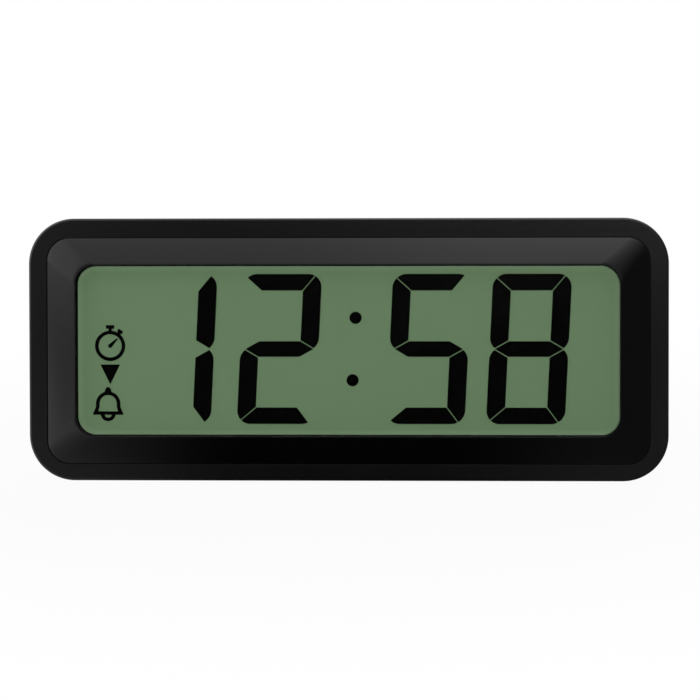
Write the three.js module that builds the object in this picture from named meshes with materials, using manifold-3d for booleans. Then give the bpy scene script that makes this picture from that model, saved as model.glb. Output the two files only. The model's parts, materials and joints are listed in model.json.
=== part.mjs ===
// Desk clock with a reflective liquid crystal display, an alarm and a countdown timer.
// Two plastic shells lean back on four rubber pads. All lengths are millimetres.
// In the clock's own frame x runs right as seen from the front, y runs back from the
// rim of the front shell, and z runs up the face from the middle of the rim.
import * as THREE from "three";
import { mergeVertices } from "three/addons/utils/BufferGeometryUtils.js";
import Module from "manifold-3d";

const wasm = await Module();
wasm.setup();

// Case
const caseWidth = 132;
const caseHeight = 54.2;
const caseCorner = 9.4;
const leanDegrees = 8;
const wall = 2;
const edgeBreak = 0.8;
const frontDepth = 10;
const partingGap = 0.3;
const flangeDepth = 5;
const humpDepth = 13.5;
const humpSideDraft = 2;
const humpTopDraft = 2.5;
const humpCorner = 6;
const humpEdge = 1.5;
const tongueDepth = 1.6;
const tongueThickness = 1;

// Fits
const seatGap = 0.15;
const sideFit = 0.3;
const screwFit = 0.2;

// Bezel: a raised frame that slopes up from the flat rim to the display window
const rimSide = 3.85;
const rimTop = 4.05;
const rimBottom = 3.55;
const bezelCorner = 4.7;
const bezelRise = 3;
const bezelCrown = 0.35;
const bezelSeat = 1;
const bezelLip = 0.3;
const slopeSide = 6.25;
const slopeTop = 5.7;
const slopeBottom = 5.8;
const windowCorner = 4;
const windowReveal = 1;

// Display stack, from the front
const lensThickness = 1.2;
const lensLap = 1.2;
const gasketThickness = 0.8;
const gasketInset = 0.35;
const glassThickness = 1.1;
const glassLap = 1.4;
const glassCorner = 0.5;
const contactLedge = 2.2;
const segmentThickness = 0.15;
const foilThickness = 0.15;

// Digits and symbols of the display
const digitMargin = 2.05;
const digitWidth = 16.24;
const digitSlant = 2.8;
const digitCentres = [-35.85, -14.2, 16.72, 37.35];
const digitLift = 0.27;
const leftStroke = 3.8;
const rightStroke = 3.8;
const levelStroke = 3.4;
const middleStroke = 3.2;
const strokeCorner = 2.8;
const leftMitre = 45;
const rightMitre = 60;
const segmentGap = 0.22;
const notchInset = 1;
const traceWidth = 0.2;
const colonX = 1.27;
const colonRadius = 1.26;
const colonSpread = 6.45;
const symbolInset = 6.56;
const timerZ = 0.92;
const timerRadius = 3.16;
const timerStroke = 0.8;
const timerStem = 0.33;
const timerCrown = { degrees: 90, gap: 0.4, height: 0.75, foot: 0.82, head: 0.9 };
const timerKnob = { degrees: 55, gap: 0.13, height: 0.7, foot: 0.57, head: 0.57 };
const handDegrees = 45;
const handLength = 2.1;
const handTipDegrees = 4;
const hubRadius = 0.42;
const arrowZ = -2.95;
const arrowWidth = 4.1;
const bellShift = 0.47;
const bellZ = -13.37;
const bellStroke = 0.72;
const bellBrimHalf = 3.15;
const bellBrimInset = 1.08;
const bellBodyHalf = 2.55;
const bellFlareHeight = 1.6;
const bellShoulderHeight = 2.3;
const bellKnobRadius = 0.65;
const bellKnobFoot = 0.95;
const bellKnobHeight = 5.1;
const clapperRadius = 1.55;
const clapperHole = 0.8;
const clapperLift = 0.2;

// Display holder and circuit board
const holderThickness = 1.2;
const holderPostHeight = 2;
const holderPostRadius = 2;
const holderSill = 1.6;
const earReach = 3.1;
const earWidth = 6;
const earInset = 12;
const boardThickness = 1.2;
const boardSideGap = 6;
const boardTopGap = 3;
const zebraThickness = 1.5;
const chipX = -12;
const chipRadius = 6;
const chipShoulder = 0.9;
const chipHeight = 1.6;
const crystalX = 6;
const crystalRadius = 1;
const crystalLength = 6;

// Screws
const screwShank = 1;
const screwHead = 2.1;
const screwHeadHeight = 1.2;
const screwHeadEdge = 0.5;
const screwBoss = 2.2;
const caseScrewInset = 5.2;
const caseScrewSpread = 13;
const counterbore = 0.9;
const crossWidth = 0.5;
const crossArm = 1.3;
const crossDepth = 0.6;

// Batteries, their tray and its hinged door
const batteryDiameter = 10.5;
const batteryLength = 44.5;
const batteryNub = 0.8;
const batteryNubRadius = 1.9;
const batteryEdge = 0.6;
const batteryPitch = 11.2;
const batteryRoom = 0.3;
const springLength = 5;
const springWire = 0.3;
const springTurns = 3;
const springTaper = 1.4;
const contactSheet = 0.4;
const contactWidth = 8.6;
const tabWidth = 4;
const tabReach = 3;
const trayWall = 1.5;
const trayEndRoom = 0.3;
const doorThickness = 2.4;
const doorLap = 1.8;
const doorCorner = 1.2;
const doorLift = 2;
const pinRadius = 0.55;
const pinLength = 1.6;
const pinFit = 0.25;
const latchWidth = 9;
const latchTab = 1;
const latchSlit = 0.6;
const latchTongue = 7;
const latchRound = 1.8;
const fingerRoom = 1.6;
const gripRibs = 4;
const gripPitch = 1.1;
const gripGroove = 0.5;

// Keys and the alarm slider on the back
const keyRadius = 3.4;
const keyProud = 1.2;
const keyPitch = 15;
const keyRowX = -11.5;
const keyNames = ["mode", "up", "down", "start"];
const keyTravel = 0.6;
const keyFlange = 0.9;
const keyFlangeThickness = 0.8;
const keyFit = 0.25;
const keyRim = 0.9;
const keyDish = 0.35;
const keyRowGap = 3.4;
const keyBoardRoom = 0.65;
const tactSize = 6;
const tactBody = 3.4;
const tactPlunger = 0.7;
const tactPlungerRadius = 1.3;
const keyScrewLength = 4;
const sliderX = 32.5;
const sliderTravel = 3;
const sliderWidth = 4;
const sliderHeight = 3.4;
const sliderProud = 1.1;
const sliderCover = 1;
const sliderPin = 1.2;
const sliderPinLength = 1.7;
const sliderCanLength = 8.6;
const sliderCanHeight = 4.4;

// Buzzer
const buzzerRadius = 7.5;
const buzzerThickness = 0.4;
const ceramicRadius = 5.2;
const ceramicThickness = 0.2;
const buzzerRoom = 1.95;
const buzzerRingWall = 1;
const buzzerStep = 1;
const soundSlotCount = 5;
const soundSlotWidth = 1.2;
const soundSlotPitch = 2.4;
const soundFieldRadius = 6;

// Wires and the ribbon between the two boards
const wireRadius = 0.55;
const leadPitch = 4;
const leadSlack = 1.5;
const batteryLeadReach = 12;
const buzzerLeadReach = 3;
const ribbonWidth = 12;
const ribbonThickness = 0.3;
const ribbonLand = 1;
const ribbonDrop = 8;

// Rubber pads
const padRadius = 2.3;
const padProud = 0.8;
const padSunk = 0.9;
const padSideInset = 18;
const padFrontInset = 6.6;
const padBackInset = 5.6;

// Facets
const cornerSteps = 6;
const slotSteps = 3;
const strokeSteps = 4;
const symbolSteps = 10;
const slopeSteps = 4;
const leadSteps = 18;
const bendSteps = 14;
const roundSides = 20;
const smallSides = 12;
const wireSides = 8;
const coilSteps = 8;
const coilSides = 5;

// How deep a feature is rooted in the wall that it grows from, and how far a cut runs on
const rooted = 0.5;
const past = 5;

// Places that follow from the sizes
const lean = THREE.MathUtils.degToRad(leanDegrees);
const halfHeight = caseHeight / 2;
const flangeFront = frontDepth + partingGap;
const flangeBack = flangeFront + flangeDepth;
const rearFace = flangeBack + humpDepth;
const rearInner = rearFace - wall;

const bezelWidth = caseWidth - 2 * rimSide;
const bezelHeight = caseHeight - rimTop - rimBottom;
const bezelZ = (rimBottom - rimTop) / 2;
const windowWidth = bezelWidth - 2 * slopeSide;
const windowHeight = bezelHeight - slopeTop - slopeBottom;
const windowZ = bezelZ + (slopeBottom - slopeTop) / 2;

const lensFront = windowReveal - bezelRise + seatGap;
const lensBack = lensFront + lensThickness;
const gasketFront = lensBack + seatGap;
const frontGlassY = gasketFront + gasketThickness + seatGap;
const segmentY = frontGlassY + glassThickness + seatGap;
const rearGlassY = segmentY + segmentThickness + seatGap;
const foilY = rearGlassY + glassThickness + seatGap;
const holderY = foilY + foilThickness + seatGap;
const holderBack = holderY + holderThickness;
const boardY = holderBack + holderPostHeight + seatGap;
const boardBack = boardY + boardThickness;

const lensWidth = windowWidth + 2 * lensLap;
const lensHeight = windowHeight + 2 * lensLap;
const glassWidth = windowWidth + 2 * glassLap;
const rearGlassHeight = windowHeight + 2 * glassLap;
const frontGlassHeight = rearGlassHeight + contactLedge;
const frontGlassZ = windowZ - contactLedge / 2;
const glassTop = windowZ + rearGlassHeight / 2;
const glassBottom = glassTop - frontGlassHeight;
const ledgeZ = glassBottom + contactLedge / 2;
const glassRoomWidth = glassWidth + 2 * sideFit;
const glassRoomHeight = frontGlassHeight + 2 * sideFit;

const digitHeight = windowHeight - 2 * digitMargin;
const timerX = symbolInset - windowWidth / 2;
const bellX = timerX - bellShift;

const trayHalf = (batteryLength + springLength) / 2 + contactSheet + 2 * trayEndRoom;
const trayHeight = batteryPitch + batteryDiameter + 2 * sideFit;
const doorHalf = trayHalf + doorLap;
const doorHeight = trayHeight + 2 * doorLap;
const doorInner = rearFace - doorThickness;
const batteryY = doorInner - batteryRoom - batteryDiameter / 2;
const trayFloor = batteryY - batteryDiameter / 2 - batteryRoom;
const doorBottom = baseZ(rearFace) + doorLift;
const doorZ = doorBottom + doorHeight / 2;
const doorTop = doorBottom + doorHeight;
const hingeY = rearFace - doorThickness / 2;
const hingeZ = doorBottom + doorThickness / 2;
const frameHalf = doorHalf + sideFit + pinLength + wall;
const trayTop = doorTop + sideFit + trayWall;

const keyZ = doorTop + keyRowGap + keyRadius;
const keyFlangeBack = rearInner - sideFit;
const keyFlangeFront = keyFlangeBack - keyFlangeThickness;
const tactTop = keyFlangeFront - keyTravel - seatGap;
const keyBoardBack = tactTop - tactPlunger - tactBody - seatGap;
const keyBoardFront = keyBoardBack - boardThickness;
const keyBoardBottom = trayTop + sideFit;
const keyBoardTop = 2 * keyZ - keyBoardBottom;
const keyBoardLeft = keyRowX - 2 * keyPitch - earWidth / 2;
const sliderRest = sliderX - sliderTravel / 2;
const sliderCoverHalf = sliderWidth / 2 + sliderTravel + keyFit + sliderCover;
const sliderCoverEnd = sliderRest + sliderTravel + sliderCoverHalf;
const keyBoardRight = sliderCoverEnd + sideFit + holderPostRadius + earWidth / 2;
const sliderCoverFront = keyFlangeBack - keyFlangeThickness;
const batteryEnd = trayHalf - trayEndRoom - contactSheet - trayEndRoom;
const buzzerX = frameHalf + sideFit + buzzerRadius;
const buzzerSeatRadius = buzzerRadius + sideFit + buzzerRingWall;
const buzzerBack = rearInner - buzzerStep - seatGap;

// The raised part of the back reaches as far as the buzzer's seat and the key board need
const humpHalfRear = buzzerX + buzzerSeatRadius + buzzerRoom + wall;
const humpHalfRoot = humpHalfRear + humpSideDraft;
const humpTopRear = keyBoardTop + keyBoardRoom + wall;
const humpTopRoot = humpTopRear + humpTopDraft;
const humpSink = caseHeight;

const caseScrewX = caseWidth / 2 - caseScrewInset;
const earX = windowWidth / 2 - earInset;
const earZ = halfHeight - wall - earReach;
const earFront = holderBack + 2 * seatGap;
const earBack = earFront + holderThickness;
const holderBottom = glassBottom - holderSill;

// Height of the flat base below the face's middle, at a distance y behind the rim
function baseZ(y) {
  return y * Math.tan(lean) - halfHeight;
}

// A closed three.js geometry as a solid that can be joined and cut
function solid(geometry) {
  const loose = geometry.index ? geometry.toNonIndexed() : geometry;
  const bare = new THREE.BufferGeometry();
  bare.setAttribute("position", loose.getAttribute("position"));
  const merged = mergeVertices(bare, 1e-4);
  const index = merged.index.array;
  const kept = [];
  for (let i = 0; i < index.length; i += 3) {
    const [a, b, c] = [index[i], index[i + 1], index[i + 2]];
    if (a !== b && b !== c && a !== c) {
      kept.push(a, b, c);
    }
  }
  return new wasm.Manifold(
    new wasm.Mesh({
      numProp: 3,
      vertProperties: merged.attributes.position.array,
      triVerts: new Uint32Array(kept),
    }),
  );
}

function join(first, ...rest) {
  return rest.reduce((sum, next) => sum.add(next), first);
}

function cut(first, ...rest) {
  return rest.reduce((left, next) => left.subtract(next), first);
}

// Flat-shaded geometry of a finished solid
function geometryOf(made) {
  const mesh = made.getMesh();
  const geometry = new THREE.BufferGeometry();
  const points = new Float32Array(mesh.numVert * 3);
  for (let i = 0; i < mesh.numVert; i += 1) {
    points.set(mesh.vertProperties.subarray(i * mesh.numProp, i * mesh.numProp + 3), i * 3);
  }
  geometry.setAttribute("position", new THREE.BufferAttribute(points, 3));
  geometry.setIndex(new THREE.BufferAttribute(mesh.triVerts, 1));
  const flat = geometry.toNonIndexed();
  flat.computeVertexNormals();
  return flat;
}

function block(left, right, front, back, bottom, top) {
  const geometry = new THREE.BoxGeometry(right - left, back - front, top - bottom);
  geometry.translate((left + right) / 2, (front + back) / 2, (bottom + top) / 2);
  return solid(geometry);
}

// A round bar from front to back
function bar(x, z, front, back, radius, sides = roundSides) {
  const geometry = new THREE.CylinderGeometry(radius, radius, back - front, sides);
  geometry.translate(x, (front + back) / 2, z);
  return solid(geometry);
}

// A round bar from left to right
function crossBar(left, right, y, z, radius, sides = roundSides) {
  const geometry = new THREE.CylinderGeometry(radius, radius, right - left, sides);
  geometry.rotateZ(Math.PI / 2);
  geometry.translate((left + right) / 2, y, z);
  return solid(geometry);
}

// Rounded rectangle across the depth y
function ring(width, height, corner, y, centreZ = 0, centreX = 0, steps = cornerSteps) {
  const points = [];
  for (let quarter = 0; quarter < 4; quarter += 1) {
    const side = quarter === 0 || quarter === 3 ? 1 : -1;
    const rise = quarter < 2 ? 1 : -1;
    for (let step = 0; step <= steps; step += 1) {
      const angle = ((quarter + step / steps) * Math.PI) / 2;
      const x = centreX + side * (width / 2 - corner) + corner * Math.cos(angle);
      const z = centreZ + rise * (height / 2 - corner) + corner * Math.sin(angle);
      points.push(new THREE.Vector3(x, y, z));
    }
  }
  return points;
}

// Skin over a row of rings, front to back: capped at its ends, or closed on itself as a frame
function loft(rings, closed = false) {
  const count = rings[0].length;
  const points = rings.flat().flatMap((p) => [p.x, p.y, p.z]);
  const faces = [];
  const spans = closed ? rings.length : rings.length - 1;
  for (let span = 0; span < spans; span += 1) {
    const near = span * count;
    const far = ((span + 1) % rings.length) * count;
    for (let i = 0; i < count; i += 1) {
      const j = (i + 1) % count;
      faces.push(near + i, far + i, far + j, near + i, far + j, near + j);
    }
  }
  if (!closed) {
    const last = (rings.length - 1) * count;
    for (let i = 1; i < count - 1; i += 1) {
      faces.push(0, i, i + 1, last, last + i + 1, last + i);
    }
  }
  const geometry = new THREE.BufferGeometry();
  geometry.setAttribute("position", new THREE.Float32BufferAttribute(points, 3));
  geometry.setIndex(faces);
  return solid(geometry);
}

function slab(width, height, corner, front, back, centreZ = 0, centreX = 0, steps = cornerSteps) {
  return loft([
    ring(width, height, corner, front, centreZ, centreX, steps),
    ring(width, height, corner, back, centreZ, centreX, steps),
  ]);
}

// A flat outline in x and z, given as pairs, made into a plate between two depths
function plate(outline, front, back, holes = []) {
  const shape = new THREE.Shape(outline.map(([x, z]) => new THREE.Vector2(x, z)));
  shape.holes = holes.map((hole) => new THREE.Path(hole.map(([x, z]) => new THREE.Vector2(x, z))));
  const geometry = new THREE.ExtrudeGeometry(shape, { depth: back - front, bevelEnabled: false });
  geometry.rotateX(Math.PI / 2);
  geometry.translate(0, back, 0);
  return solid(geometry);
}

function arc(centreX, centreZ, radius, fromDegrees, toDegrees, steps) {
  return Array.from({ length: steps + 1 }, (_, i) => {
    const angle = THREE.MathUtils.degToRad(fromDegrees + ((toDegrees - fromDegrees) * i) / steps);
    return [centreX + radius * Math.cos(angle), centreZ + radius * Math.sin(angle)];
  });
}

// A round solid about a line from front to back, from pairs of radius and depth
function turned(profile, x, z, sides = roundSides) {
  const geometry = new THREE.LatheGeometry(
    profile.map(([radius, y]) => new THREE.Vector2(radius, y)),
    sides,
  );
  geometry.translate(x, 0, z);
  return solid(geometry);
}

// A wire along a smooth curve: round, or widened on one axis as a flat twin lead is
function wire(points, radius, steps, widening = 0) {
  const outline = Array.from({ length: wireSides }, (_, i) => {
    const angle = (2 * Math.PI * (i + 0.5)) / wireSides;
    const along = Math.sin(angle);
    return new THREE.Vector2(
      radius * Math.cos(angle),
      radius * along + widening * Math.sign(along),
    );
  });
  const section = new THREE.Shape(outline);
  const path = new THREE.CatmullRomCurve3(points.map((p) => new THREE.Vector3(...p)));
  return solid(
    new THREE.ExtrudeGeometry(section, { steps, extrudePath: path, bevelEnabled: false }),
  );
}

// All space above the sloping base, less a wall of the given thickness
function aboveBase(thickness) {
  const reach = 4 * caseWidth;
  const geometry = new THREE.BoxGeometry(reach, reach, reach);
  geometry.translate(0, 0, reach / 2 + thickness);
  geometry.rotateX(lean);
  geometry.translate(0, 0, -halfHeight);
  return solid(geometry);
}

// Middle of a rubber pad on the base, in the clock's frame, and the pad's cylinder there
const padPlaces = [
  ["front_left", -1, padFrontInset],
  ["front_right", 1, padFrontInset],
  ["back_left", -1, rearFace - padBackInset],
  ["back_right", 1, rearFace - padBackInset],
].map(([name, side, y]) => ({ name, x: side * (caseWidth / 2 - padSideInset), y }));

function padCylinder(place, radius, low, high) {
  const geometry = new THREE.CylinderGeometry(radius, radius, high - low, roundSides);
  geometry.rotateX(Math.PI / 2);
  geometry.translate(0, 0, (low + high) / 2);
  geometry.rotateX(lean);
  geometry.translate(place.x, place.y, baseZ(place.y));
  return solid(geometry);
}

const padRecesses = padPlaces.map((place) =>
  padCylinder(place, padRadius + sideFit, -wall, padSunk + seatGap),
);

const caseScrewPlaces = [
  [-caseScrewX, caseScrewSpread],
  [caseScrewX, caseScrewSpread],
  [-caseScrewX, -caseScrewSpread],
  [caseScrewX, -caseScrewSpread],
];
const earPlaces = [
  [-earX, earZ],
  [earX, earZ],
];

// Front shell: flat rim, pocket for the bezel, opening for the display, and screw bosses
function frontShell() {
  const outer = loft([
    ring(caseWidth - 2 * edgeBreak, caseHeight - 2 * edgeBreak, caseCorner - edgeBreak, 0),
    ring(caseWidth, caseHeight, caseCorner, edgeBreak),
    ring(caseWidth, caseHeight, caseCorner, frontDepth),
  ]).intersect(aboveBase(0));
  const inner = slab(
    caseWidth - 2 * wall,
    caseHeight - 2 * wall,
    caseCorner - wall,
    wall,
    frontDepth + past,
  ).intersect(aboveBase(wall));
  const pocket = slab(
    bezelWidth + 2 * seatGap,
    bezelHeight + 2 * seatGap,
    bezelCorner + seatGap,
    -past,
    bezelSeat,
    bezelZ,
  );
  const opening = slab(
    glassRoomWidth,
    glassRoomHeight,
    glassCorner + sideFit,
    -past,
    wall + past,
    frontGlassZ,
    0,
    slotSteps,
  );
  const hole = screwShank + screwFit;
  const bosses = [
    ...caseScrewPlaces.map(([x, z]) => bar(x, z, wall - rooted, frontDepth, screwBoss)),
    ...earPlaces.map(([x, z]) => bar(x, z, wall - rooted, earFront - seatGap, screwBoss)),
  ];
  const pilots = [
    ...caseScrewPlaces.map(([x, z]) => bar(x, z, wall, frontDepth + past, hole, smallSides)),
    ...earPlaces.map(([x, z]) => bar(x, z, wall, frontDepth + past, hole, smallSides)),
  ];
  const hollow = cut(outer, inner);
  return cut(
    join(hollow, ...bosses).intersect(outer),
    pocket,
    opening,
    ...pilots,
    ...padRecesses,
  );
}

// Bezel: a frame whose face swells slightly as it climbs to a narrow lip round the window
function bezel() {
  const lipWidth = windowWidth + 2 * bezelLip;
  const lipHeight = windowHeight + 2 * bezelLip;
  const rings = [];
  for (let step = slopeSteps; step >= 0; step -= 1) {
    const share = step / slopeSteps;
    const swell = bezelCrown * 4 * share * (1 - share);
    rings.push(
      ring(
        THREE.MathUtils.lerp(bezelWidth, lipWidth, share),
        THREE.MathUtils.lerp(bezelHeight, lipHeight, share),
        THREE.MathUtils.lerp(bezelCorner, windowCorner + bezelLip, share),
        -bezelRise * share - swell,
        THREE.MathUtils.lerp(bezelZ, windowZ, share),
      ),
    );
  }
  const back = bezelSeat - seatGap;
  const lensStep = windowReveal - bezelRise;
  const glassStep = gasketFront + gasketThickness;
  const lensRoomWidth = lensWidth + 2 * seatGap;
  const lensRoomHeight = lensHeight + 2 * seatGap;
  rings.push(ring(bezelWidth, bezelHeight, bezelCorner, back, bezelZ));
  rings.push(ring(glassRoomWidth, glassRoomHeight, glassCorner + sideFit, back, frontGlassZ));
  rings.push(ring(glassRoomWidth, glassRoomHeight, glassCorner + sideFit, glassStep, frontGlassZ));
  rings.push(ring(lensRoomWidth, lensRoomHeight, windowCorner, glassStep, windowZ));
  rings.push(ring(lensRoomWidth, lensRoomHeight, windowCorner, lensStep, windowZ));
  rings.push(ring(windowWidth, windowHeight, windowCorner, lensStep, windowZ));
  rings.push(ring(windowWidth, windowHeight, windowCorner, -bezelRise, windowZ));
  return loft(rings, true);
}

function displayWindow() {
  return slab(lensWidth, lensHeight, windowCorner, lensFront, lensBack, windowZ);
}

// Black foam frame between window and glass; its opening stays just behind the bezel's edge
function displayGasket() {
  const back = gasketFront + gasketThickness;
  const frame = slab(lensWidth, lensHeight, windowCorner, gasketFront, back, windowZ);
  const hole = slab(
    windowWidth + 2 * gasketInset,
    windowHeight + 2 * gasketInset,
    windowCorner + gasketInset,
    gasketFront - past,
    back + past,
    windowZ,
  );
  return cut(frame, hole);
}

function lcdGlass(height, centreZ, front) {
  return slab(glassWidth, height, glassCorner, front, front + glassThickness, centreZ);
}

// The seven strokes of a digit about its middle, before the slant
function strokes() {
  const w = digitWidth / 2;
  const h = digitHeight / 2;
  const r = strokeCorner;
  const mitre = segmentGap * Math.SQRT1_2;
  const turn = THREE.MathUtils.radToDeg(segmentGap / 2 / r);
  const notchAngle = THREE.MathUtils.radToDeg(Math.acos((r - notchInset) / r));
  const notchZ = segmentGap + r * Math.sin(THREE.MathUtils.degToRad(notchAngle));
  const top = [
    [-w + leftStroke + mitre, h - levelStroke],
    ...arc(-w + r, h - r, r, 180 - leftMitre - turn, 90, strokeSteps),
    ...arc(w - r, h - r, r, 90, rightMitre + turn, strokeSteps),
    [w - rightStroke - mitre, h - levelStroke],
  ];
  const upright = (stroke, mitreAngle) => [
    [-w + stroke, middleStroke / 2 + segmentGap],
    [-w + stroke, h - levelStroke - mitre],
    ...arc(-w + r, h - r, r, 180 - mitreAngle + turn, 180, strokeSteps),
    ...arc(-w + r, notchZ, r, 180, 180 + notchAngle, strokeSteps),
  ];
  const left = upright(leftStroke, leftMitre);
  const right = upright(rightStroke, rightMitre);
  const middle = [
    [-w + notchInset + segmentGap / 2, 0],
    [-w + leftStroke + segmentGap / 2, middleStroke / 2],
    [w - rightStroke - segmentGap / 2, middleStroke / 2],
    [w - notchInset - segmentGap / 2, 0],
    [w - rightStroke - segmentGap / 2, -middleStroke / 2],
    [-w + leftStroke + segmentGap / 2, -middleStroke / 2],
  ];
  const flip = (outline, x, z) => outline.map(([px, pz]) => [x * px, z * pz]);
  return {
    top,
    bottom: flip(top, 1, -1),
    upperLeft: left,
    lowerLeft: flip(left, 1, -1),
    upperRight: flip(right, -1, 1),
    lowerRight: flip(right, -1, -1),
    middle,
  };
}

// Short conductor bars that carry current across the gaps, at the back of the strokes
function traces() {
  const w = digitWidth / 2;
  const h = digitHeight / 2;
  const corner = (stroke, mitreAngle) => {
    const angle = THREE.MathUtils.degToRad(mitreAngle);
    return [
      w - (stroke + strokeCorner * (1 - Math.cos(angle))) / 2,
      h - (levelStroke + strokeCorner * (1 - Math.sin(angle))) / 2,
    ];
  };
  const [leftX, leftZ] = corner(leftStroke, leftMitre);
  const [rightX, rightZ] = corner(rightStroke, rightMitre);
  const flank = (stroke) => w - (stroke + notchInset) / 2;
  const climb = (middleStroke / 2 + segmentGap) / 2;
  const reach = 3 * segmentGap;
  const level = (x, z) => [x - reach, x + reach, z - traceWidth / 2, z + traceWidth / 2];
  const upright = (x, z) => [x - traceWidth / 2, x + traceWidth / 2, z - reach, z + reach];
  return {
    "top upperLeft": level(-leftX, leftZ),
    "top upperRight": level(rightX, rightZ),
    "bottom lowerLeft": level(-leftX, -leftZ),
    "bottom lowerRight": level(rightX, -rightZ),
    "middle upperLeft": upright(-flank(leftStroke), climb),
    "middle upperRight": upright(flank(rightStroke), climb),
    "middle lowerLeft": upright(-flank(leftStroke), -climb),
    "middle lowerRight": upright(flank(rightStroke), -climb),
    "upperRight lowerRight": upright(w - notchInset - traceWidth / 2, 0),
  };
}

const digitStrokes = {
  1: ["upperRight", "lowerRight"],
  2: ["top", "upperRight", "middle", "lowerLeft", "bottom"],
  5: ["top", "upperLeft", "middle", "lowerRight", "bottom"],
  8: ["top", "upperLeft", "upperRight", "middle", "lowerLeft", "lowerRight", "bottom"],
};

function slanted(outline, x) {
  const slope = Math.tan(THREE.MathUtils.degToRad(digitSlant));
  return outline.map(([px, pz]) => [x + px + pz * slope, windowZ + digitLift + pz]);
}

function digit(numeral, x) {
  const lit = digitStrokes[numeral];
  const outlines = strokes();
  const back = segmentY + segmentThickness;
  const parts = lit.map((name) => plate(slanted(outlines[name], x), segmentY, back));
  for (const [pair, [left, right, bottom, top]] of Object.entries(traces())) {
    const [a, b] = pair.split(" ");
    const direct = a.startsWith("upper");
    if (lit.includes(a) && lit.includes(b) && !(direct && lit.includes("middle"))) {
      const corners = [[left, bottom], [right, bottom], [right, top], [left, top]];
      parts.push(plate(slanted(corners, x), segmentY + segmentThickness / 2, back));
    }
  }
  return join(...parts);
}

function colonDot(side) {
  const [[x, z]] = slanted([[0, side * colonSpread]], colonX);
  return bar(x, z, segmentY, segmentY + segmentThickness, colonRadius, 2 * roundSides);
}

// Stopwatch symbol: ring, crown, side knob, a tapered hand and the hand's conductor
function timerSymbol() {
  const back = segmentY + segmentThickness;
  const z = windowZ + timerZ;
  const r = timerRadius;
  const root = r - timerStroke / 2;
  const rim = cut(
    bar(timerX, z, segmentY, back, r, 2 * roundSides),
    bar(timerX, z, segmentY - past, back + past, r - timerStroke, 2 * roundSides),
  );
  const spot = (degrees, out, across) => {
    const angle = THREE.MathUtils.degToRad(degrees);
    return [
      timerX + out * Math.cos(angle) - across * Math.sin(angle),
      z + out * Math.sin(angle) + across * Math.cos(angle),
    ];
  };
  const tapered = (degrees, near, far, nearHalf, farHalf) => [
    spot(degrees, near, -nearHalf),
    spot(degrees, far, -farHalf),
    spot(degrees, far, farHalf),
    spot(degrees, near, nearHalf),
  ];
  const buttons = [timerCrown, timerKnob].flatMap(({ degrees, gap, height, foot, head }) => [
    plate(tapered(degrees, root, r + gap + height / 2, timerStem, timerStem), segmentY, back),
    plate(tapered(degrees, r + gap, r + gap + height, foot, head), segmentY, back),
  ]);
  const hand = plate(
    [
      ...arc(timerX, z, hubRadius, handDegrees + 90, handDegrees + 270, symbolSteps),
      ...arc(timerX, z, handLength, handDegrees - handTipDegrees, handDegrees + handTipDegrees, 1),
    ],
    segmentY,
    back,
  );
  const half = traceWidth / 2;
  const feed = plate(
    tapered(handDegrees, 0, root, half, half),
    segmentY + segmentThickness / 2,
    back,
  );
  return join(rim, ...buttons, hand, feed);
}

function arrowSymbol() {
  const z = windowZ + arrowZ;
  const half = arrowWidth / 2;
  const outline = [
    [timerX - half, z],
    [timerX + half, z],
    [timerX, z - arrowWidth],
  ];
  return plate(outline, segmentY, segmentY + segmentThickness);
}

// Bell symbol: an outlined bell with a knob above and a half-round clapper below
function bellSymbol() {
  const back = segmentY + segmentThickness;
  const z = windowZ + bellZ;
  const outline = (inset, brimInset) => [
    [bellX + bellBrimHalf - brimInset, z + inset],
    [bellX + bellBodyHalf - inset, z + bellFlareHeight],
    ...arc(bellX, z + bellShoulderHeight, bellBodyHalf - inset, 0, 180, symbolSteps),
    [bellX - bellBodyHalf + inset, z + bellFlareHeight],
    [bellX - bellBrimHalf + brimInset, z + inset],
  ];
  const body = cut(
    plate(outline(0, 0), segmentY, back),
    plate(outline(bellStroke, bellBrimInset), segmentY - past, back + past),
  );
  const knobFootZ = z + bellShoulderHeight + bellBodyHalf - bellStroke / 2;
  const knob = plate(
    [
      [bellX - bellKnobFoot, knobFootZ],
      [bellX + bellKnobFoot, knobFootZ],
      ...arc(bellX, z + bellKnobHeight, bellKnobRadius, 0, 180, symbolSteps),
    ],
    segmentY,
    back,
  );
  const half = (radius) => arc(bellX, z + clapperLift, radius, 180, 360, symbolSteps);
  const clapper = cut(
    plate(half(clapperRadius), segmentY, back),
    plate(half(clapperHole), segmentY - past, back + past),
  );
  return join(body, knob, clapper);
}

function reflectorFoil() {
  const foil = [glassWidth - 2 * sideFit, rearGlassHeight - 2 * sideFit];
  return slab(foil[0], foil[1], glassCorner, foilY, foilY + foilThickness, windowZ);
}

const boardHalf = glassWidth / 2 - boardSideGap;
const boardTop = glassTop - boardTopGap;
const leadTabX = -trayHalf - tabReach - sideFit;
const batteryLandX = leadTabX - batteryLeadReach;
const buzzerLandX = buzzerX + buzzerLeadReach;
const ribbonStartZ = boardTop - ribbonDrop;
const boardBottom = glassBottom - sideFit;
const postPlaces = [
  [-1, 1],
  [1, 1],
  [-1, -1],
  [1, -1],
].map(([side, rise]) => [
  side * (boardHalf - 2 * holderPostRadius),
  windowZ + rise * (windowHeight / 2 - 2 * holderPostRadius),
]);

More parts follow.
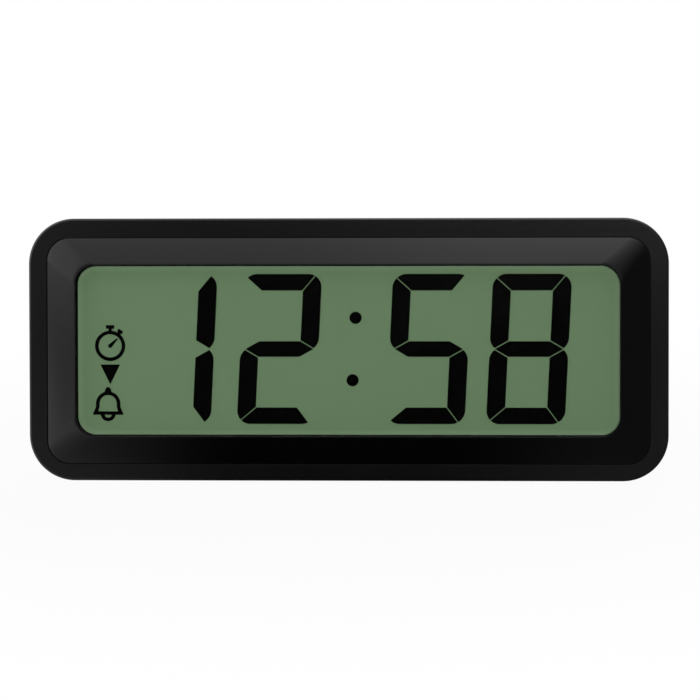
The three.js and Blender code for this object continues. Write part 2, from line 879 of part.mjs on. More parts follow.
// Moulded holder that clamps the glass: a plate with a slot for the contact strip,
// four posts for the circuit board and two screwed ears
function displayHolder() {
  const sheet = slab(
    glassWidth,
    glassTop - holderBottom,
    glassCorner,
    holderY,
    holderBack,
    (glassTop + holderBottom) / 2,
    0,
    slotSteps,
  );
  const slot = block(
    -boardHalf,
    boardHalf,
    holderY - past,
    holderBack + past,
    ledgeZ - zebraThickness / 2 - sideFit,
    ledgeZ + zebraThickness / 2 + sideFit,
  );
  const half = earWidth / 2;
  const ears = earPlaces.flatMap(([x, z]) => [
    block(x - half, x + half, holderY, earBack, glassTop - half, glassTop),
    block(x - half, x + half, earFront, earBack, glassTop - half, z + screwHead),
  ]);
  const posts = postPlaces.map(([x, z]) =>
    bar(x, z, holderBack - rooted, boardY - seatGap, holderPostRadius, smallSides),
  );
  const hole = screwShank + screwFit;
  const holes = [
    ...earPlaces.map(([x, z]) => bar(x, z, earFront - past, earBack + past, hole, smallSides)),
    ...postPlaces.map(([x, z]) => bar(x, z, holderBack, boardBack + past, hole, smallSides)),
  ];
  return cut(join(sheet, ...ears, ...posts), slot, ...holes);
}

// Rubber strip with carbon layers that joins the glass to the circuit board
function contactStrip() {
  return block(
    -boardHalf + sideFit,
    boardHalf - sideFit,
    frontGlassY + glassThickness + seatGap,
    boardY - seatGap,
    ledgeZ - zebraThickness / 2,
    ledgeZ + zebraThickness / 2,
  );
}

function circuitBoard() {
  const sheet = block(-boardHalf, boardHalf, boardY, boardBack, boardBottom, boardTop);
  const holes = postPlaces.map(([x, z]) =>
    bar(x, z, boardY - past, boardBack + past, screwShank + screwFit, smallSides),
  );
  return cut(sheet, ...holes);
}

// Pan-head screw with a cross recess; its head faces back
function screw(x, z, underHead, length) {
  const top = underHead + screwHeadHeight;
  const body = turned(
    [
      [0, underHead - length],
      [screwShank, underHead - length + screwShank],
      [screwShank, underHead],
      [screwHead, underHead],
      [screwHead, top - screwHeadEdge],
      [screwHead - screwHeadEdge, top],
      [0, top],
    ],
    x,
    z,
    smallSides,
  );
  const half = crossWidth / 2;
  return cut(
    body,
    block(x - crossArm, x + crossArm, top - crossDepth, top + past, z - half, z + half),
    block(x - half, x + half, top - crossDepth, top + past, z - crossArm, z + crossArm),
  );
}

// Sections of the raised part of the back, from its root to its flat rear face
function humpSections(inset, back) {
  const top = (share) => THREE.MathUtils.lerp(humpTopRoot, humpTopRear, share) - inset;
  const half = (share) => THREE.MathUtils.lerp(humpHalfRoot, humpHalfRear, share) - inset;
  const section = (share, y, trim) => {
    const high = top(share) - trim;
    const low = inset - humpSink;
    const corner = Math.max(humpCorner - inset - trim, rooted);
    return ring(2 * (half(share) - trim), high - low, corner, y, (high + low) / 2);
  };
  const front = flangeBack - wall - rooted;
  const edge = Math.max(humpEdge - inset / 2, rooted);
  const share = (y) => (y - flangeBack) / humpDepth;
  return [
    section(share(front), front, 0),
    section(share(back - edge), back - edge, 0),
    section(share(back), back, edge),
  ];
}

const soundSlots = Array.from({ length: soundSlotCount }, (_, i) => {
  const offset = (i - (soundSlotCount - 1) / 2) * soundSlotPitch;
  const reach = Math.sqrt(soundFieldRadius ** 2 - offset ** 2);
  return slab(
    soundSlotWidth,
    2 * reach,
    soundSlotWidth / 2,
    rearInner - past,
    rearFace + past,
    doorZ,
    buzzerX + offset,
    slotSteps,
  );
});

const keyPlaces = keyNames.map((name, i) => ({
  name,
  x: keyRowX + (i - (keyNames.length - 1) / 2) * keyPitch,
}));
const keyScrewPlaces = [
  [keyBoardLeft + earWidth / 2, keyZ],
  [keyBoardRight - earWidth / 2, keyZ],
];

// Rear shell: a flange as wide as the front shell and a deeper hump with the battery tray
function rearShell() {
  const flange = loft([
    ring(caseWidth, caseHeight, caseCorner, flangeFront),
    ring(caseWidth, caseHeight, caseCorner, flangeBack - edgeBreak),
    ring(caseWidth - 2 * edgeBreak, caseHeight - 2 * edgeBreak, caseCorner - edgeBreak, flangeBack),
  ]);
  const outer = join(flange, loft(humpSections(0, rearFace))).intersect(aboveBase(0));
  const flangeRoom = slab(
    caseWidth - 2 * wall,
    caseHeight - 2 * wall,
    caseCorner - wall,
    flangeFront - past,
    flangeBack - wall,
  );
  const inner = join(flangeRoom, loft(humpSections(wall, rearInner))).intersect(aboveBase(wall));
  const frame = (inset, front, back) =>
    slab(
      caseWidth - 2 * inset,
      caseHeight - 2 * inset,
      caseCorner - inset,
      front,
      back,
    ).intersect(aboveBase(inset));
  const tongueOutside = wall + sideFit;
  const tongueInside = tongueOutside + tongueThickness;
  const tongueFront = frontDepth - tongueDepth;
  const rootBack = flangeFront + tongueDepth;
  const tongue = cut(
    join(
      frame(tongueOutside, tongueFront, rootBack),
      frame(wall - rooted, flangeFront, rootBack),
    ),
    frame(tongueInside, tongueFront - past, rootBack + past),
    ...caseScrewPlaces.map(([x, z]) =>
      bar(x, z, tongueFront - past, flangeFront, screwBoss + 2 * sideFit),
    ),
  );
  const shell = join(cut(outer, inner), tongue);

  const tray = join(
    block(
      -trayHalf - trayWall,
      trayHalf + trayWall,
      trayFloor - trayWall,
      rearInner + rooted,
      doorZ - trayHeight / 2 - trayWall,
      doorZ + trayHeight / 2 + trayWall,
    ),
    block(
      -frameHalf,
      frameHalf,
      doorInner - sideFit - trayWall,
      rearInner + rooted,
      doorBottom - sideFit - trayWall,
      trayTop,
    ),
  ).intersect(aboveBase(wall - rooted));
  const bosses = caseScrewPlaces.map(([x, z]) =>
    bar(x, z, flangeFront, flangeBack - wall + rooted, screwBoss),
  );
  const keyPosts = keyScrewPlaces.map(([x, z]) =>
    bar(x, z, keyBoardBack + seatGap, rearInner + rooted, holderPostRadius, smallSides),
  );
  const buzzerSeat = cut(
    join(
      bar(
        buzzerX,
        doorZ,
        rearInner - buzzerStep,
        rearInner + rooted,
        buzzerSeatRadius,
      ),
      bar(
        buzzerX,
        doorZ,
        buzzerBack - buzzerThickness - sideFit,
        rearInner,
        buzzerSeatRadius,
      ),
    ),
    bar(buzzerX, doorZ, rearInner - past, rearInner - buzzerStep, buzzerRadius + sideFit),
    bar(buzzerX, doorZ, rearInner - past, rearInner, buzzerRadius - buzzerRingWall),
  );
  const built = join(shell, tray, ...bosses, ...keyPosts, buzzerSeat);

  const tools = [
    // Door recess with square corners at the hinge, battery room and the scoop for a
    // fingernail above the latch
    slab(
      2 * (doorHalf + sideFit),
      doorHeight + 2 * sideFit,
      doorCorner + sideFit,
      doorInner - sideFit,
      rearFace + past,
      doorZ,
      0,
      slotSteps,
    ),
    block(
      -doorHalf - sideFit,
      doorHalf + sideFit,
      doorInner - sideFit,
      rearFace + past,
      doorBottom - sideFit,
      hingeZ,
    ),
    slab(2 * trayHalf, trayHeight, doorCorner, trayFloor, rearFace + past, doorZ, 0, slotSteps),
    slab(
      latchWidth + 2 * latchRound,
      2 * (latchTab + fingerRoom),
      latchRound,
      doorInner - sideFit,
      rearFace + past,
      doorTop,
    ),
    crossBar(
      -doorHalf - sideFit - pinLength,
      doorHalf + sideFit + pinLength,
      hingeY,
      hingeZ,
      pinRadius + pinFit,
    ),
    // Slots for the solder tabs of the two end contacts
    ...[-1, 1].map((rise) =>
      block(
        -trayHalf - tabReach,
        -trayHalf + trayEndRoom,
        batteryY - contactWidth / 2 - sideFit,
        batteryY - contactWidth / 2 + contactSheet + sideFit,
        doorZ + (rise * batteryPitch) / 2 - tabWidth / 2 - sideFit,
        doorZ + (rise * batteryPitch) / 2 + tabWidth / 2 + sideFit,
      ),
    ),
    // Keys, alarm slider and sound slots
    ...keyPlaces.map(({ x }) =>
      bar(x, keyZ, rearInner - past, rearFace + past, keyRadius + keyFit),
    ),
    block(
      sliderRest - sliderWidth / 2 - keyFit,
      sliderRest + sliderTravel + sliderWidth / 2 + keyFit,
      rearInner - past,
      rearFace + past,
      keyZ - sliderHeight / 2 - keyFit,
      keyZ + sliderHeight / 2 + keyFit,
    ),
    ...soundSlots,
    // Screws
    ...caseScrewPlaces.flatMap(([x, z]) => [
      bar(x, z, flangeFront - past, flangeBack + past, screwShank + screwFit, smallSides),
      bar(x, z, flangeBack - counterbore, flangeBack + past, screwHead + screwFit),
    ]),
    ...keyScrewPlaces.map(([x, z]) =>
      bar(x, z, keyBoardBack - past, rearInner, screwShank + screwFit, smallSides),
    ),
    ...padRecesses,
  ];
  return cut(built, ...tools);
}

// Battery door: a flush plate with a rounded lower edge on two short hinge pins, and a
// ribbed latch tongue between two slits, whose tip stands in the finger notch
function batteryDoor() {
  const flat = slab(
    2 * doorHalf,
    doorHeight,
    doorCorner,
    doorInner,
    rearFace,
    doorZ,
    0,
    slotSteps,
  );
  const square = cut(
    flat,
    block(-doorHalf - past, doorHalf + past, 0, rearFace + past, doorBottom - past, hingeZ),
  );
  const knuckle = crossBar(-doorHalf, doorHalf, hingeY, hingeZ, doorThickness / 2);
  const pinEnd = doorHalf + sideFit + pinLength - pinFit;
  const pins = crossBar(-pinEnd, pinEnd, hingeY, hingeZ, pinRadius, smallSides);
  const half = latchWidth / 2;
  const tongueBottom = doorTop - latchTongue;
  const slits = [-1, 1].map((side) => {
    const x = side * (half + latchSlit / 2);
    return block(
      x - latchSlit / 2,
      x + latchSlit / 2,
      doorInner - past,
      rearFace + past,
      tongueBottom,
      doorTop + past,
    );
  });
  const tip = block(-half, half, doorInner, rearFace, doorTop - rooted, doorTop + latchTab);
  const grooves = Array.from({ length: gripRibs }, (_, i) => {
    const z = doorTop - gripPitch * (i + 1);
    return block(
      gripGroove - half,
      half - gripGroove,
      rearFace - gripGroove,
      rearFace + past,
      z - gripGroove / 2,
      z + gripGroove / 2,
    );
  });
  return cut(join(square, knuckle, pins, tip), ...slits, ...grooves);
}

// One key: dished cap, retaining flange inside the shell and a stem to its switch
function key(x) {
  const cap = rearFace + keyProud;
  return turned(
    [
      [0, keyFlangeFront],
      [keyRadius + keyFlange, keyFlangeFront],
      [keyRadius + keyFlange, keyFlangeBack],
      [keyRadius, keyFlangeBack],
      [keyRadius, cap - keyDish],
      [keyRadius - keyDish, cap],
      [keyRadius - keyRim, cap],
      [0, cap - keyDish],
    ],
    x,
    keyZ,
  );
}

function tactSwitch(x) {
  const half = tactSize / 2;
  const shoulder = tactTop - tactPlunger;
  return join(
    block(x - half, x + half, keyBoardBack + seatGap, shoulder, keyZ - half, keyZ + half),
    bar(x, keyZ, shoulder - rooted, tactTop, tactPlungerRadius, smallSides),
  );
}

// The alarm slider: a ribbed thumb piece on a cover plate, with a pin into its switch
function alarmSlider() {
  const half = sliderWidth / 2;
  const high = sliderHeight / 2;
  const top = rearFace + sliderProud;
  const coverZ = high + keyFit + sliderCover;
  const x = sliderRest;
  const thumb = block(x - half, x + half, sliderCoverFront, top, keyZ - high, keyZ + high);
  const cover = block(
    x - sliderCoverHalf,
    x + sliderCoverHalf,
    sliderCoverFront,
    keyFlangeBack,
    keyZ - coverZ,
    keyZ + coverZ,
  );
  const pin = block(
    x - sliderPin / 2,
    x + sliderPin / 2,
    sliderCoverFront - sliderPinLength,
    sliderCoverFront + rooted,
    keyZ - sliderPin / 2,
    keyZ + sliderPin / 2,
  );
  const grooves = [-1, 0, 1].map((i) => {
    const middle = x + i * gripPitch;
    return block(
      middle - gripGroove / 2,
      middle + gripGroove / 2,
      top - gripGroove,
      top + past,
      keyZ - high - past,
      keyZ + high + past,
    );
  });
  return cut(join(thumb, cover, pin), ...grooves);
}

// Metal can of the alarm switch, open above where the slider's pin runs
function slideSwitch() {
  const back = sliderCoverFront - sideFit;
  const can = block(
    sliderX - sliderCanLength / 2,
    sliderX + sliderCanLength / 2,
    keyBoardBack + seatGap,
    back,
    keyZ - sliderCanHeight / 2,
    keyZ + sliderCanHeight / 2,
  );
  const track = block(
    sliderRest - sliderPin / 2 - sideFit,
    sliderRest + sliderTravel + sliderPin / 2 + sideFit,
    sliderCoverFront - sliderPinLength - sideFit,
    back + past,
    keyZ - sliderPin / 2 - sideFit,
    keyZ + sliderPin / 2 + sideFit,
  );
  return cut(can, track);
}

function keyBoard() {
  const sheet = block(
    keyBoardLeft,
    keyBoardRight,
    keyBoardFront,
    keyBoardBack,
    keyBoardBottom,
    keyBoardTop,
  );
  const hole = screwShank + screwFit;
  const holes = keyScrewPlaces.map(([x, z]) =>
    bar(x, z, keyBoardFront - past, keyBoardBack + past, hole, smallSides),
  );
  return cut(sheet, ...holes);
}

// A screw whose head faces the front of the clock
function keyBoardScrew(x, z) {
  const made = screw(x, z, 0, keyScrewLength);
  return made.rotate([180, 0, 0]).translate([0, keyBoardFront - seatGap, 2 * z]);
}

// Dry cell along x with its raised contact towards one side
function battery(z, nubSide) {
  const radius = batteryDiameter / 2;
  const can = batteryLength - batteryNub;
  const geometry = new THREE.LatheGeometry(
    [
      [0, 0],
      [radius - batteryEdge, 0],
      [radius, batteryEdge],
      [radius, can - batteryEdge],
      [radius - batteryEdge, can],
      [batteryNubRadius, can],
      [batteryNubRadius, batteryLength],
      [0, batteryLength],
    ].map(([r, y]) => new THREE.Vector2(r, y)),
    roundSides,
  );
  geometry.translate(0, -batteryLength, 0);
  geometry.rotateZ((-nubSide * Math.PI) / 2);
  geometry.translate(nubSide * batteryEnd, batteryY, z);
  return solid(geometry);
}

// Conical coil of one unbroken wire: it leaves its plate straight, winds towards the
// battery as it narrows, and ends straight. Returns its centre line.
function coilLine() {
  const wide = contactWidth / 2 - springWire;
  const narrow = wide - springTaper;
  const lead = 2 * springWire;
  const climb = springLength - 2 * lead - springWire;
  const steps = coilSteps * springTurns;
  const line = [new THREE.Vector3(-rooted, wide, 0)];
  for (let i = 0; i <= steps; i += 1) {
    const share = i / steps;
    const angle = 2 * Math.PI * springTurns * share;
    const radius = THREE.MathUtils.lerp(wide, narrow, share);
    line.push(
      new THREE.Vector3(lead + climb * share, radius * Math.cos(angle), radius * Math.sin(angle)),
    );
  }
  line.push(new THREE.Vector3(springLength - springWire, narrow, 0));
  return line;
}

// Least clear gap between turns of the coil that lie more than half a turn apart
function coilGap(line) {
  let least = Infinity;
  line.forEach((p, i) => {
    line.slice(i + coilSteps / 2 + 1).forEach((q) => {
      least = Math.min(least, p.distanceTo(q) - 2 * springWire);
    });
  });
  return least;
}

const springLine = coilLine();
console.log(`battery spring: least gap between turns ${coilGap(springLine).toFixed(2)} mm`);

function coil(plateX, side, z) {
  const rings = springLine.map((p, i) => {
    const ahead = springLine[Math.min(i + 1, springLine.length - 1)];
    const behind = springLine[Math.max(i - 1, 0)];
    const along = ahead.clone().sub(behind).normalize();
    const outward = new THREE.Vector3(0, p.y, p.z).normalize();
    const across = along.clone().cross(outward).normalize();
    const up = across.clone().cross(along);
    return Array.from({ length: coilSides }, (_, k) => {
      const turn = (2 * Math.PI * k) / coilSides;
      const spot = p
        .clone()
        .addScaledVector(across, springWire * Math.cos(turn))
        .addScaledVector(up, springWire * Math.sin(turn));
      return new THREE.Vector3(plateX + side * spot.x, batteryY + spot.y, z + side * spot.z);
    });
  });
  const made = loft(rings);
  return made.volume() < 0 ? loft(rings.map((points) => points.reverse())) : made;
}

// Sheet of spring steel against an end of the tray; side is the way it faces
function contactPlate(wallX, side, low, high) {
  const half = contactWidth / 2;
  const face = wallX + side * contactSheet;
  const left = Math.min(wallX, face);
  return block(left, left + contactSheet, batteryY - half, batteryY + half, low, high);
}

// End contact with a solder tab through the tray wall; one has a spring, one is flat
function endContact(rise, sprung) {
  const z = doorZ + (rise * batteryPitch) / 2;
  const wallX = trayEndRoom - trayHalf;
  const half = contactWidth / 2;
  const sheet = contactPlate(wallX, 1, z - half, z + half);
  const tab = block(
    -trayHalf - tabReach,
    wallX + contactSheet,
    batteryY - half,
    batteryY - half + contactSheet,
    z - tabWidth / 2,
    z + tabWidth / 2,
  );
  return sprung ? join(sheet, tab, coil(wallX + contactSheet, 1, z)) : join(sheet, tab);
}

function bridgeContact() {
  const wallX = trayHalf - trayEndRoom;
  const reach = (batteryPitch + contactWidth) / 2;
  const sheet = contactPlate(wallX, -1, doorZ - reach, doorZ + reach);
  return join(sheet, coil(wallX - contactSheet, -1, doorZ + batteryPitch / 2));
}

// Brass disc with a smaller ceramic disc bonded to its inner face
function buzzerDisc() {
  const face = buzzerBack - buzzerThickness;
  return turned(
    [
      [0, face - ceramicThickness],
      [ceramicRadius, face - ceramicThickness],
      [ceramicRadius, face],
      [buzzerRadius, face],
      [buzzerRadius, buzzerBack],
      [0, buzzerBack],
    ],
    buzzerX,
    doorZ,
  );
}

// Flat ribbon in an easy bend from the circuit board up to the key board
function ribbon() {
  const start = new THREE.Vector2(boardBack + sideFit, ribbonStartZ);
  const end = new THREE.Vector2(keyBoardFront - sideFit, keyBoardTop - ribbonLand);
  const middle = (start.x + end.x) / 2;
  const path = new THREE.CubicBezierCurve(
    start,
    new THREE.Vector2(middle, start.y),
    new THREE.Vector2(middle, end.y),
    end,
  );
  const side = (way) =>
    Array.from({ length: bendSteps + 1 }, (_, i) => {
      const p = path.getPoint(i / bendSteps);
      const along = path.getTangent(i / bendSteps);
      const out = (way * ribbonThickness) / 2;
      return new THREE.Vector2(p.x - along.y * out, p.y + along.x * out);
    });
  const shape = new THREE.Shape([...side(1), ...side(-1).reverse()]);
  const geometry = new THREE.ExtrudeGeometry(shape, { depth: ribbonWidth, bevelEnabled: false });
  geometry.rotateX(Math.PI / 2);
  geometry.rotateZ(Math.PI / 2);
  geometry.translate(keyRowX - ribbonWidth / 2, 0, 0);
  return solid(geometry);
}

function chipBlob() {
  const front = boardBack + seatGap;
  return turned(
    [
      [0, front],
      [chipRadius, front],
      [chipRadius - chipShoulder, front + chipHeight / 2],
      [chipRadius / 2, front + chipHeight],
      [0, front + chipHeight],
    ],
    chipX,
    windowZ,
  );
}

function crystalCan() {
  const y = boardBack + seatGap + crystalRadius;
  return crossBar(crystalX, crystalX + crystalLength, y, windowZ, crystalRadius, smallSides);
}

// Insulated lead from a solder tab of the tray to the edge of the circuit board
function batteryLead(rise) {
  const tabY = batteryY - contactWidth / 2 + contactSheet / 2;
  const tabZ = doorZ + (rise * batteryPitch) / 2;
  const landZ = doorZ + (rise * leadPitch) / 2;
  const end = boardBack + sideFit;
  return wire(
    [
      [leadTabX, tabY, tabZ],
      [leadTabX - 2 * wireRadius, tabY, tabZ],
      [(leadTabX + batteryLandX) / 2 - leadSlack, tabY, (tabZ + landZ) / 2],
      [batteryLandX - leadSlack, (tabY + end) / 2, landZ],
      [batteryLandX, end + 2 * wireRadius, landZ],
      [batteryLandX, end, landZ],
    ],
    wireRadius,
    leadSteps,
  );
}

// Twin lead from the buzzer to the circuit board
function buzzerLead() {
  const startY = buzzerBack - buzzerThickness - ceramicThickness - sideFit;
  const end = boardBack + sideFit;
  const middleY = (startY + end) / 2;
  return wire(
    [
      [buzzerX, startY, doorZ],
      [buzzerX, startY - 2 * wireRadius, doorZ],
      [(buzzerX + buzzerLandX) / 2, middleY, doorZ + leadSlack],
      [buzzerLandX, end + 2 * wireRadius, doorZ],
      [buzzerLandX, end, doorZ],
    ],
    wireRadius,
    bendSteps,
    leadPitch / 2,
  );
}

// Finishes
function finish(colour, roughness, metalness = 0, opacity = 1) {
  return new THREE.MeshStandardMaterial({
    color: colour,
    roughness,
    metalness,
    opacity,
    transparent: opacity < 1,
  });
}

const finishes = {
  satinBlack: finish(0x1b1b1c, 0.5),
  glossBlack: finish(0x121213, 0.18),
  window: finish(0xe8efe8, 0.05, 0, 0.15),
  glass: finish(0xdfe8dc, 0.05, 0, 0.15),
  displayGreen: finish(0x60795a, 0.55),
  segmentBlack: finish(0x060806, 0.4),
  foil: finish(0xb9bdb6, 0.4, 0.6),
  foam: finish(0x0c0c0c, 0.95),
  holder: finish(0xd8d8d2, 0.6),
  board: finish(0x1f5a32, 0.5),
  epoxy: finish(0x0a0a0b, 0.3),
  steel: finish(0xb4b6b8, 0.3, 1),
  brass: finish(0xb9943f, 0.35, 1),
  keyRubber: finish(0x2a2a2c, 0.7),
  cell: finish(0x3f4a52, 0.35, 0.3),
  ribbon: finish(0xc9c9c4, 0.5),
  wireRed: finish(0xa01c1c, 0.5),
  wireBlack: finish(0x151515, 0.5),
  rubber: finish(0x202020, 0.9),
  elastomer: finish(0x8f8f8a, 0.8),
};

const leaning = new THREE.Group();

function add(name, made, material) {
  const mesh = new THREE.Mesh(geometryOf(made), material);
  mesh.name = name;
  leaning.add(mesh);
}

add("front_shell", frontShell(), finishes.satinBlack);
add("bezel", bezel(), finishes.glossBlack);
add("display_window", displayWindow(), finishes.window);
add("display_gasket", displayGasket(), finishes.foam);
add("lcd_front_glass", lcdGlass(frontGlassHeight, frontGlassZ, frontGlassY), finishes.glass);
const digitNames = ["hours_tens", "hours_units", "minutes_tens", "minutes_units"];
[1, 2, 5, 8].forEach((numeral, i) => {
  add(`digit_${digitNames[i]}`, digit(numeral, digitCentres[i]), finishes.segmentBlack);
});
add("colon_dot_upper", colonDot(1), finishes.segmentBlack);
add("colon_dot_lower", colonDot(-1), finishes.segmentBlack);
add("timer_symbol", timerSymbol(), finishes.segmentBlack);
add("arrow_symbol", arrowSymbol(), finishes.segmentBlack);
add("bell_symbol", bellSymbol(), finishes.segmentBlack);
add("lcd_rear_glass", lcdGlass(rearGlassHeight, windowZ, rearGlassY), finishes.displayGreen);
add("reflector_foil", reflectorFoil(), finishes.foil);
add("display_holder", displayHolder(), finishes.holder);
add("contact_strip", contactStrip(), finishes.elastomer);
add("circuit_board", circuitBoard(), finishes.board);
add("chip_blob", chipBlob(), finishes.epoxy);
add("crystal_can", crystalCan(), finishes.steel);
postPlaces.forEach(([x, z], i) => {
  const length = holderPostHeight + boardThickness - screwFit;
  add(`board_screw_${i + 1}`, screw(x, z, boardBack + seatGap, length), finishes.steel);
});
earPlaces.forEach(([x, z], i) => {
  const underHead = holderBack + 2 * seatGap + holderThickness + seatGap;
  const length = underHead - wall - 2 * screwFit;
  add(`holder_screw_${i + 1}`, screw(x, z, underHead, length), finishes.steel);
});
add("rear_shell", rearShell(), finishes.satinBlack);
caseScrewPlaces.forEach(([x, z], i) => {
  const underHead = flangeBack - counterbore + seatGap;
  const length = underHead - wall - 4 * screwFit;
  add(`case_screw_${i + 1}`, screw(x, z, underHead, length), finishes.steel);
});
add("key_board", keyBoard(), finishes.board);
keyScrewPlaces.forEach(([x, z], i) => {
  add(`key_board_screw_${i + 1}`, keyBoardScrew(x, z), finishes.steel);
});
keyPlaces.forEach(({ name, x }) => {
  add(`tact_switch_${name}`, tactSwitch(x), finishes.epoxy);
  add(`key_${name}`, key(x), finishes.keyRubber);
});
add("slide_switch", slideSwitch(), finishes.steel);
add("alarm_slider", alarmSlider(), finishes.keyRubber);
add("ribbon_cable", ribbon(), finishes.ribbon);
add("buzzer_disc", buzzerDisc(), finishes.brass);
add("buzzer_lead", buzzerLead(), finishes.wireBlack);
add("battery_door", batteryDoor(), finishes.satinBlack);
add("battery_upper", battery(doorZ + batteryPitch / 2, -1), finishes.cell);
add("battery_lower", battery(doorZ - batteryPitch / 2, 1), finishes.cell);
add("contact_positive", endContact(1, false), finishes.steel);
add("contact_negative", endContact(-1, true), finishes.steel);
add("contact_bridge", bridgeContact(), finishes.steel);
add("battery_lead_red", batteryLead(1), finishes.wireRed);
add("battery_lead_black", batteryLead(-1), finishes.wireBlack);
padPlaces.forEach((place) => {
  add(`pad_${place.name}`, padCylinder(place, padRadius, -padProud, padSunk), finishes.rubber);
});

// Stand the leaning clock on its pads, with the middle of its footprint at the origin
const clock = new THREE.Group();
leaning.rotation.x = -lean;
clock.add(leaning);
clock.updateMatrixWorld(true);
const bounds = new THREE.Box3().setFromObject(clock, true);
leaning.position.set(
  -(bounds.min.x + bounds.max.x) / 2,
  -(bounds.min.y + bounds.max.y) / 2,
  -bounds.min.z,
);

export default clock;
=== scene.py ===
# %% [markdown]
# A digital clock, dressed in Blender.
#
# The imported model is loaded first, and stays exactly where it is. Everything below is
# built round it in the same frame: metres, with z up and the display facing -y.

# %% Load the imported clock
import json
import math

import bmesh
import bpy
from mathutils import Euler, Matrix, Vector


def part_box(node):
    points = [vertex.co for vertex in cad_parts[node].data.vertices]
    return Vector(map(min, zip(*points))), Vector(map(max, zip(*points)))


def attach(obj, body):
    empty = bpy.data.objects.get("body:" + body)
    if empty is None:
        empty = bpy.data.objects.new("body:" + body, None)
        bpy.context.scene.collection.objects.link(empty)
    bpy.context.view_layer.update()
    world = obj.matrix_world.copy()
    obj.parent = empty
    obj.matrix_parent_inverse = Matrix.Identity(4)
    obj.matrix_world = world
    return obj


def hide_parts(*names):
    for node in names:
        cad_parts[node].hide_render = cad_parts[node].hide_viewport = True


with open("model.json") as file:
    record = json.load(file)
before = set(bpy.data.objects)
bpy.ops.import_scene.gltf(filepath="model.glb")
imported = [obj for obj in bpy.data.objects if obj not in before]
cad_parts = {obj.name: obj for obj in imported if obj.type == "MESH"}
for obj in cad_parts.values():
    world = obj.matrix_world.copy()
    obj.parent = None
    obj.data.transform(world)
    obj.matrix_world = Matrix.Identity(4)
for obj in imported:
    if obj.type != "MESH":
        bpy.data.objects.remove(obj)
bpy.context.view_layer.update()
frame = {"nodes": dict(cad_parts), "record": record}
MM = 0.001

# %% [markdown]
# The clock leans back by 8 degrees on a flat base. Each piece is modelled upright, in
# millimetres, with y = 0 on the front face of the case. A last step leans it and bakes
# that place into the mesh, so that the object sits unturned at the origin.

# %% Upright drawing and leaning clock
LEAN = math.radians(8)
FACE_MIDDLE = Vector((0, -0.01313533533, 0.0276362656))
STAND = Matrix.Translation(FACE_MIDDLE) @ Matrix.Rotation(-LEAN, 4, "X")


def ready():
    """Object mode with nothing selected, so that an operator meets only what it should."""
    if bpy.context.object and bpy.context.object.mode != "OBJECT":
        bpy.ops.object.mode_set(mode="OBJECT")
    bpy.ops.object.select_all(action="DESELECT")


def only(piece):
    """Selects one piece and makes it the active one."""
    ready()
    piece.select_set(True)
    bpy.context.view_layer.objects.active = piece


def edit(piece):
    """Edit mode with the whole mesh selected."""
    only(piece)
    bpy.ops.object.mode_set(mode="EDIT")
    bpy.ops.mesh.select_all(action="SELECT")


def leave():
    bpy.ops.object.mode_set(mode="OBJECT")


def bake():
    """Puts the selected piece's place, turn and size into its mesh."""
    bpy.ops.object.transform_apply(location=True, rotation=True, scale=True)


def pick(piece, test, kind="faces"):
    """In edit mode, selects the faces, edges or vertices that pass a test of place."""
    bpy.ops.mesh.select_mode(type={"faces": "FACE", "edges": "EDGE", "verts": "VERT"}[kind])
    bpy.ops.mesh.select_all(action="DESELECT")
    mesh = bmesh.from_edit_mesh(piece.data)
    for part in getattr(mesh, kind):
        if test(part):
            part.select_set(True)
    mesh.select_flush_mode()
    bmesh.update_edit_mesh(piece.data)


def middle_of(part):
    """Middle of a face or edge in millimetres."""
    if isinstance(part, bmesh.types.BMFace):
        return part.calc_center_median() / MM
    return (part.verts[0].co + part.verts[1].co) / 2 / MM


print("lean", round(math.degrees(LEAN), 1), "degrees")

# %% [markdown]
# Most parts start as a flat plate with round corners: a plane is stretched to its size,
# its corners are bevelled as points, and it is extruded to its thickness. Modifiers then
# do the work of a cutter or a file.

# %% Plate, cutter and finishing helpers
def named(name):
    piece = bpy.context.object
    piece.name = name
    piece.data.name = name
    return piece


def flat_plate(name, width, height, corner, y, middle=(0, 0), steps=12):
    """A flat plate with round corners that faces the front, at depth y."""
    ready()
    bpy.ops.mesh.primitive_plane_add(
        size=1, location=(middle[0] * MM, y * MM, middle[1] * MM), rotation=(math.pi / 2, 0, 0)
    )
    piece = named(name)
    piece.scale = (width * MM, height * MM, 1)
    bake()
    if corner:
        edit(piece)
        bpy.ops.mesh.bevel(offset=corner * MM, segments=steps, affect="VERTICES")
        leave()
    return piece


def thicken(piece, depth):
    """Pulls a flat outline back by a depth, and turns its faces outwards."""
    edit(piece)
    bpy.ops.mesh.extrude_region_move(TRANSFORM_OT_translate={"value": (0, depth * MM, 0)})
    bpy.ops.mesh.select_all(action="SELECT")
    bpy.ops.mesh.normals_make_consistent(inside=False)
    leave()
    return piece


def slab(name, width, height, corner, front, back, middle=(0, 0), steps=12):
    """A plate with round corners that fills the depth from front to back."""
    return thicken(flat_plate(name, width, height, corner, front, middle, steps), back - front)


def rod(name, place, radius, length, axis="y", sides=48):
    """A round bar centred on a place, along x, y or z."""
    ready()
    turn = {"x": (0, math.pi / 2, 0), "y": (math.pi / 2, 0, 0), "z": (0, 0, 0)}[axis]
    bpy.ops.mesh.primitive_cylinder_add(vertices=sides, radius=radius * MM, depth=length * MM,
                                        location=[v * MM for v in place], rotation=turn)
    piece = named(name)
    bake()
    return piece


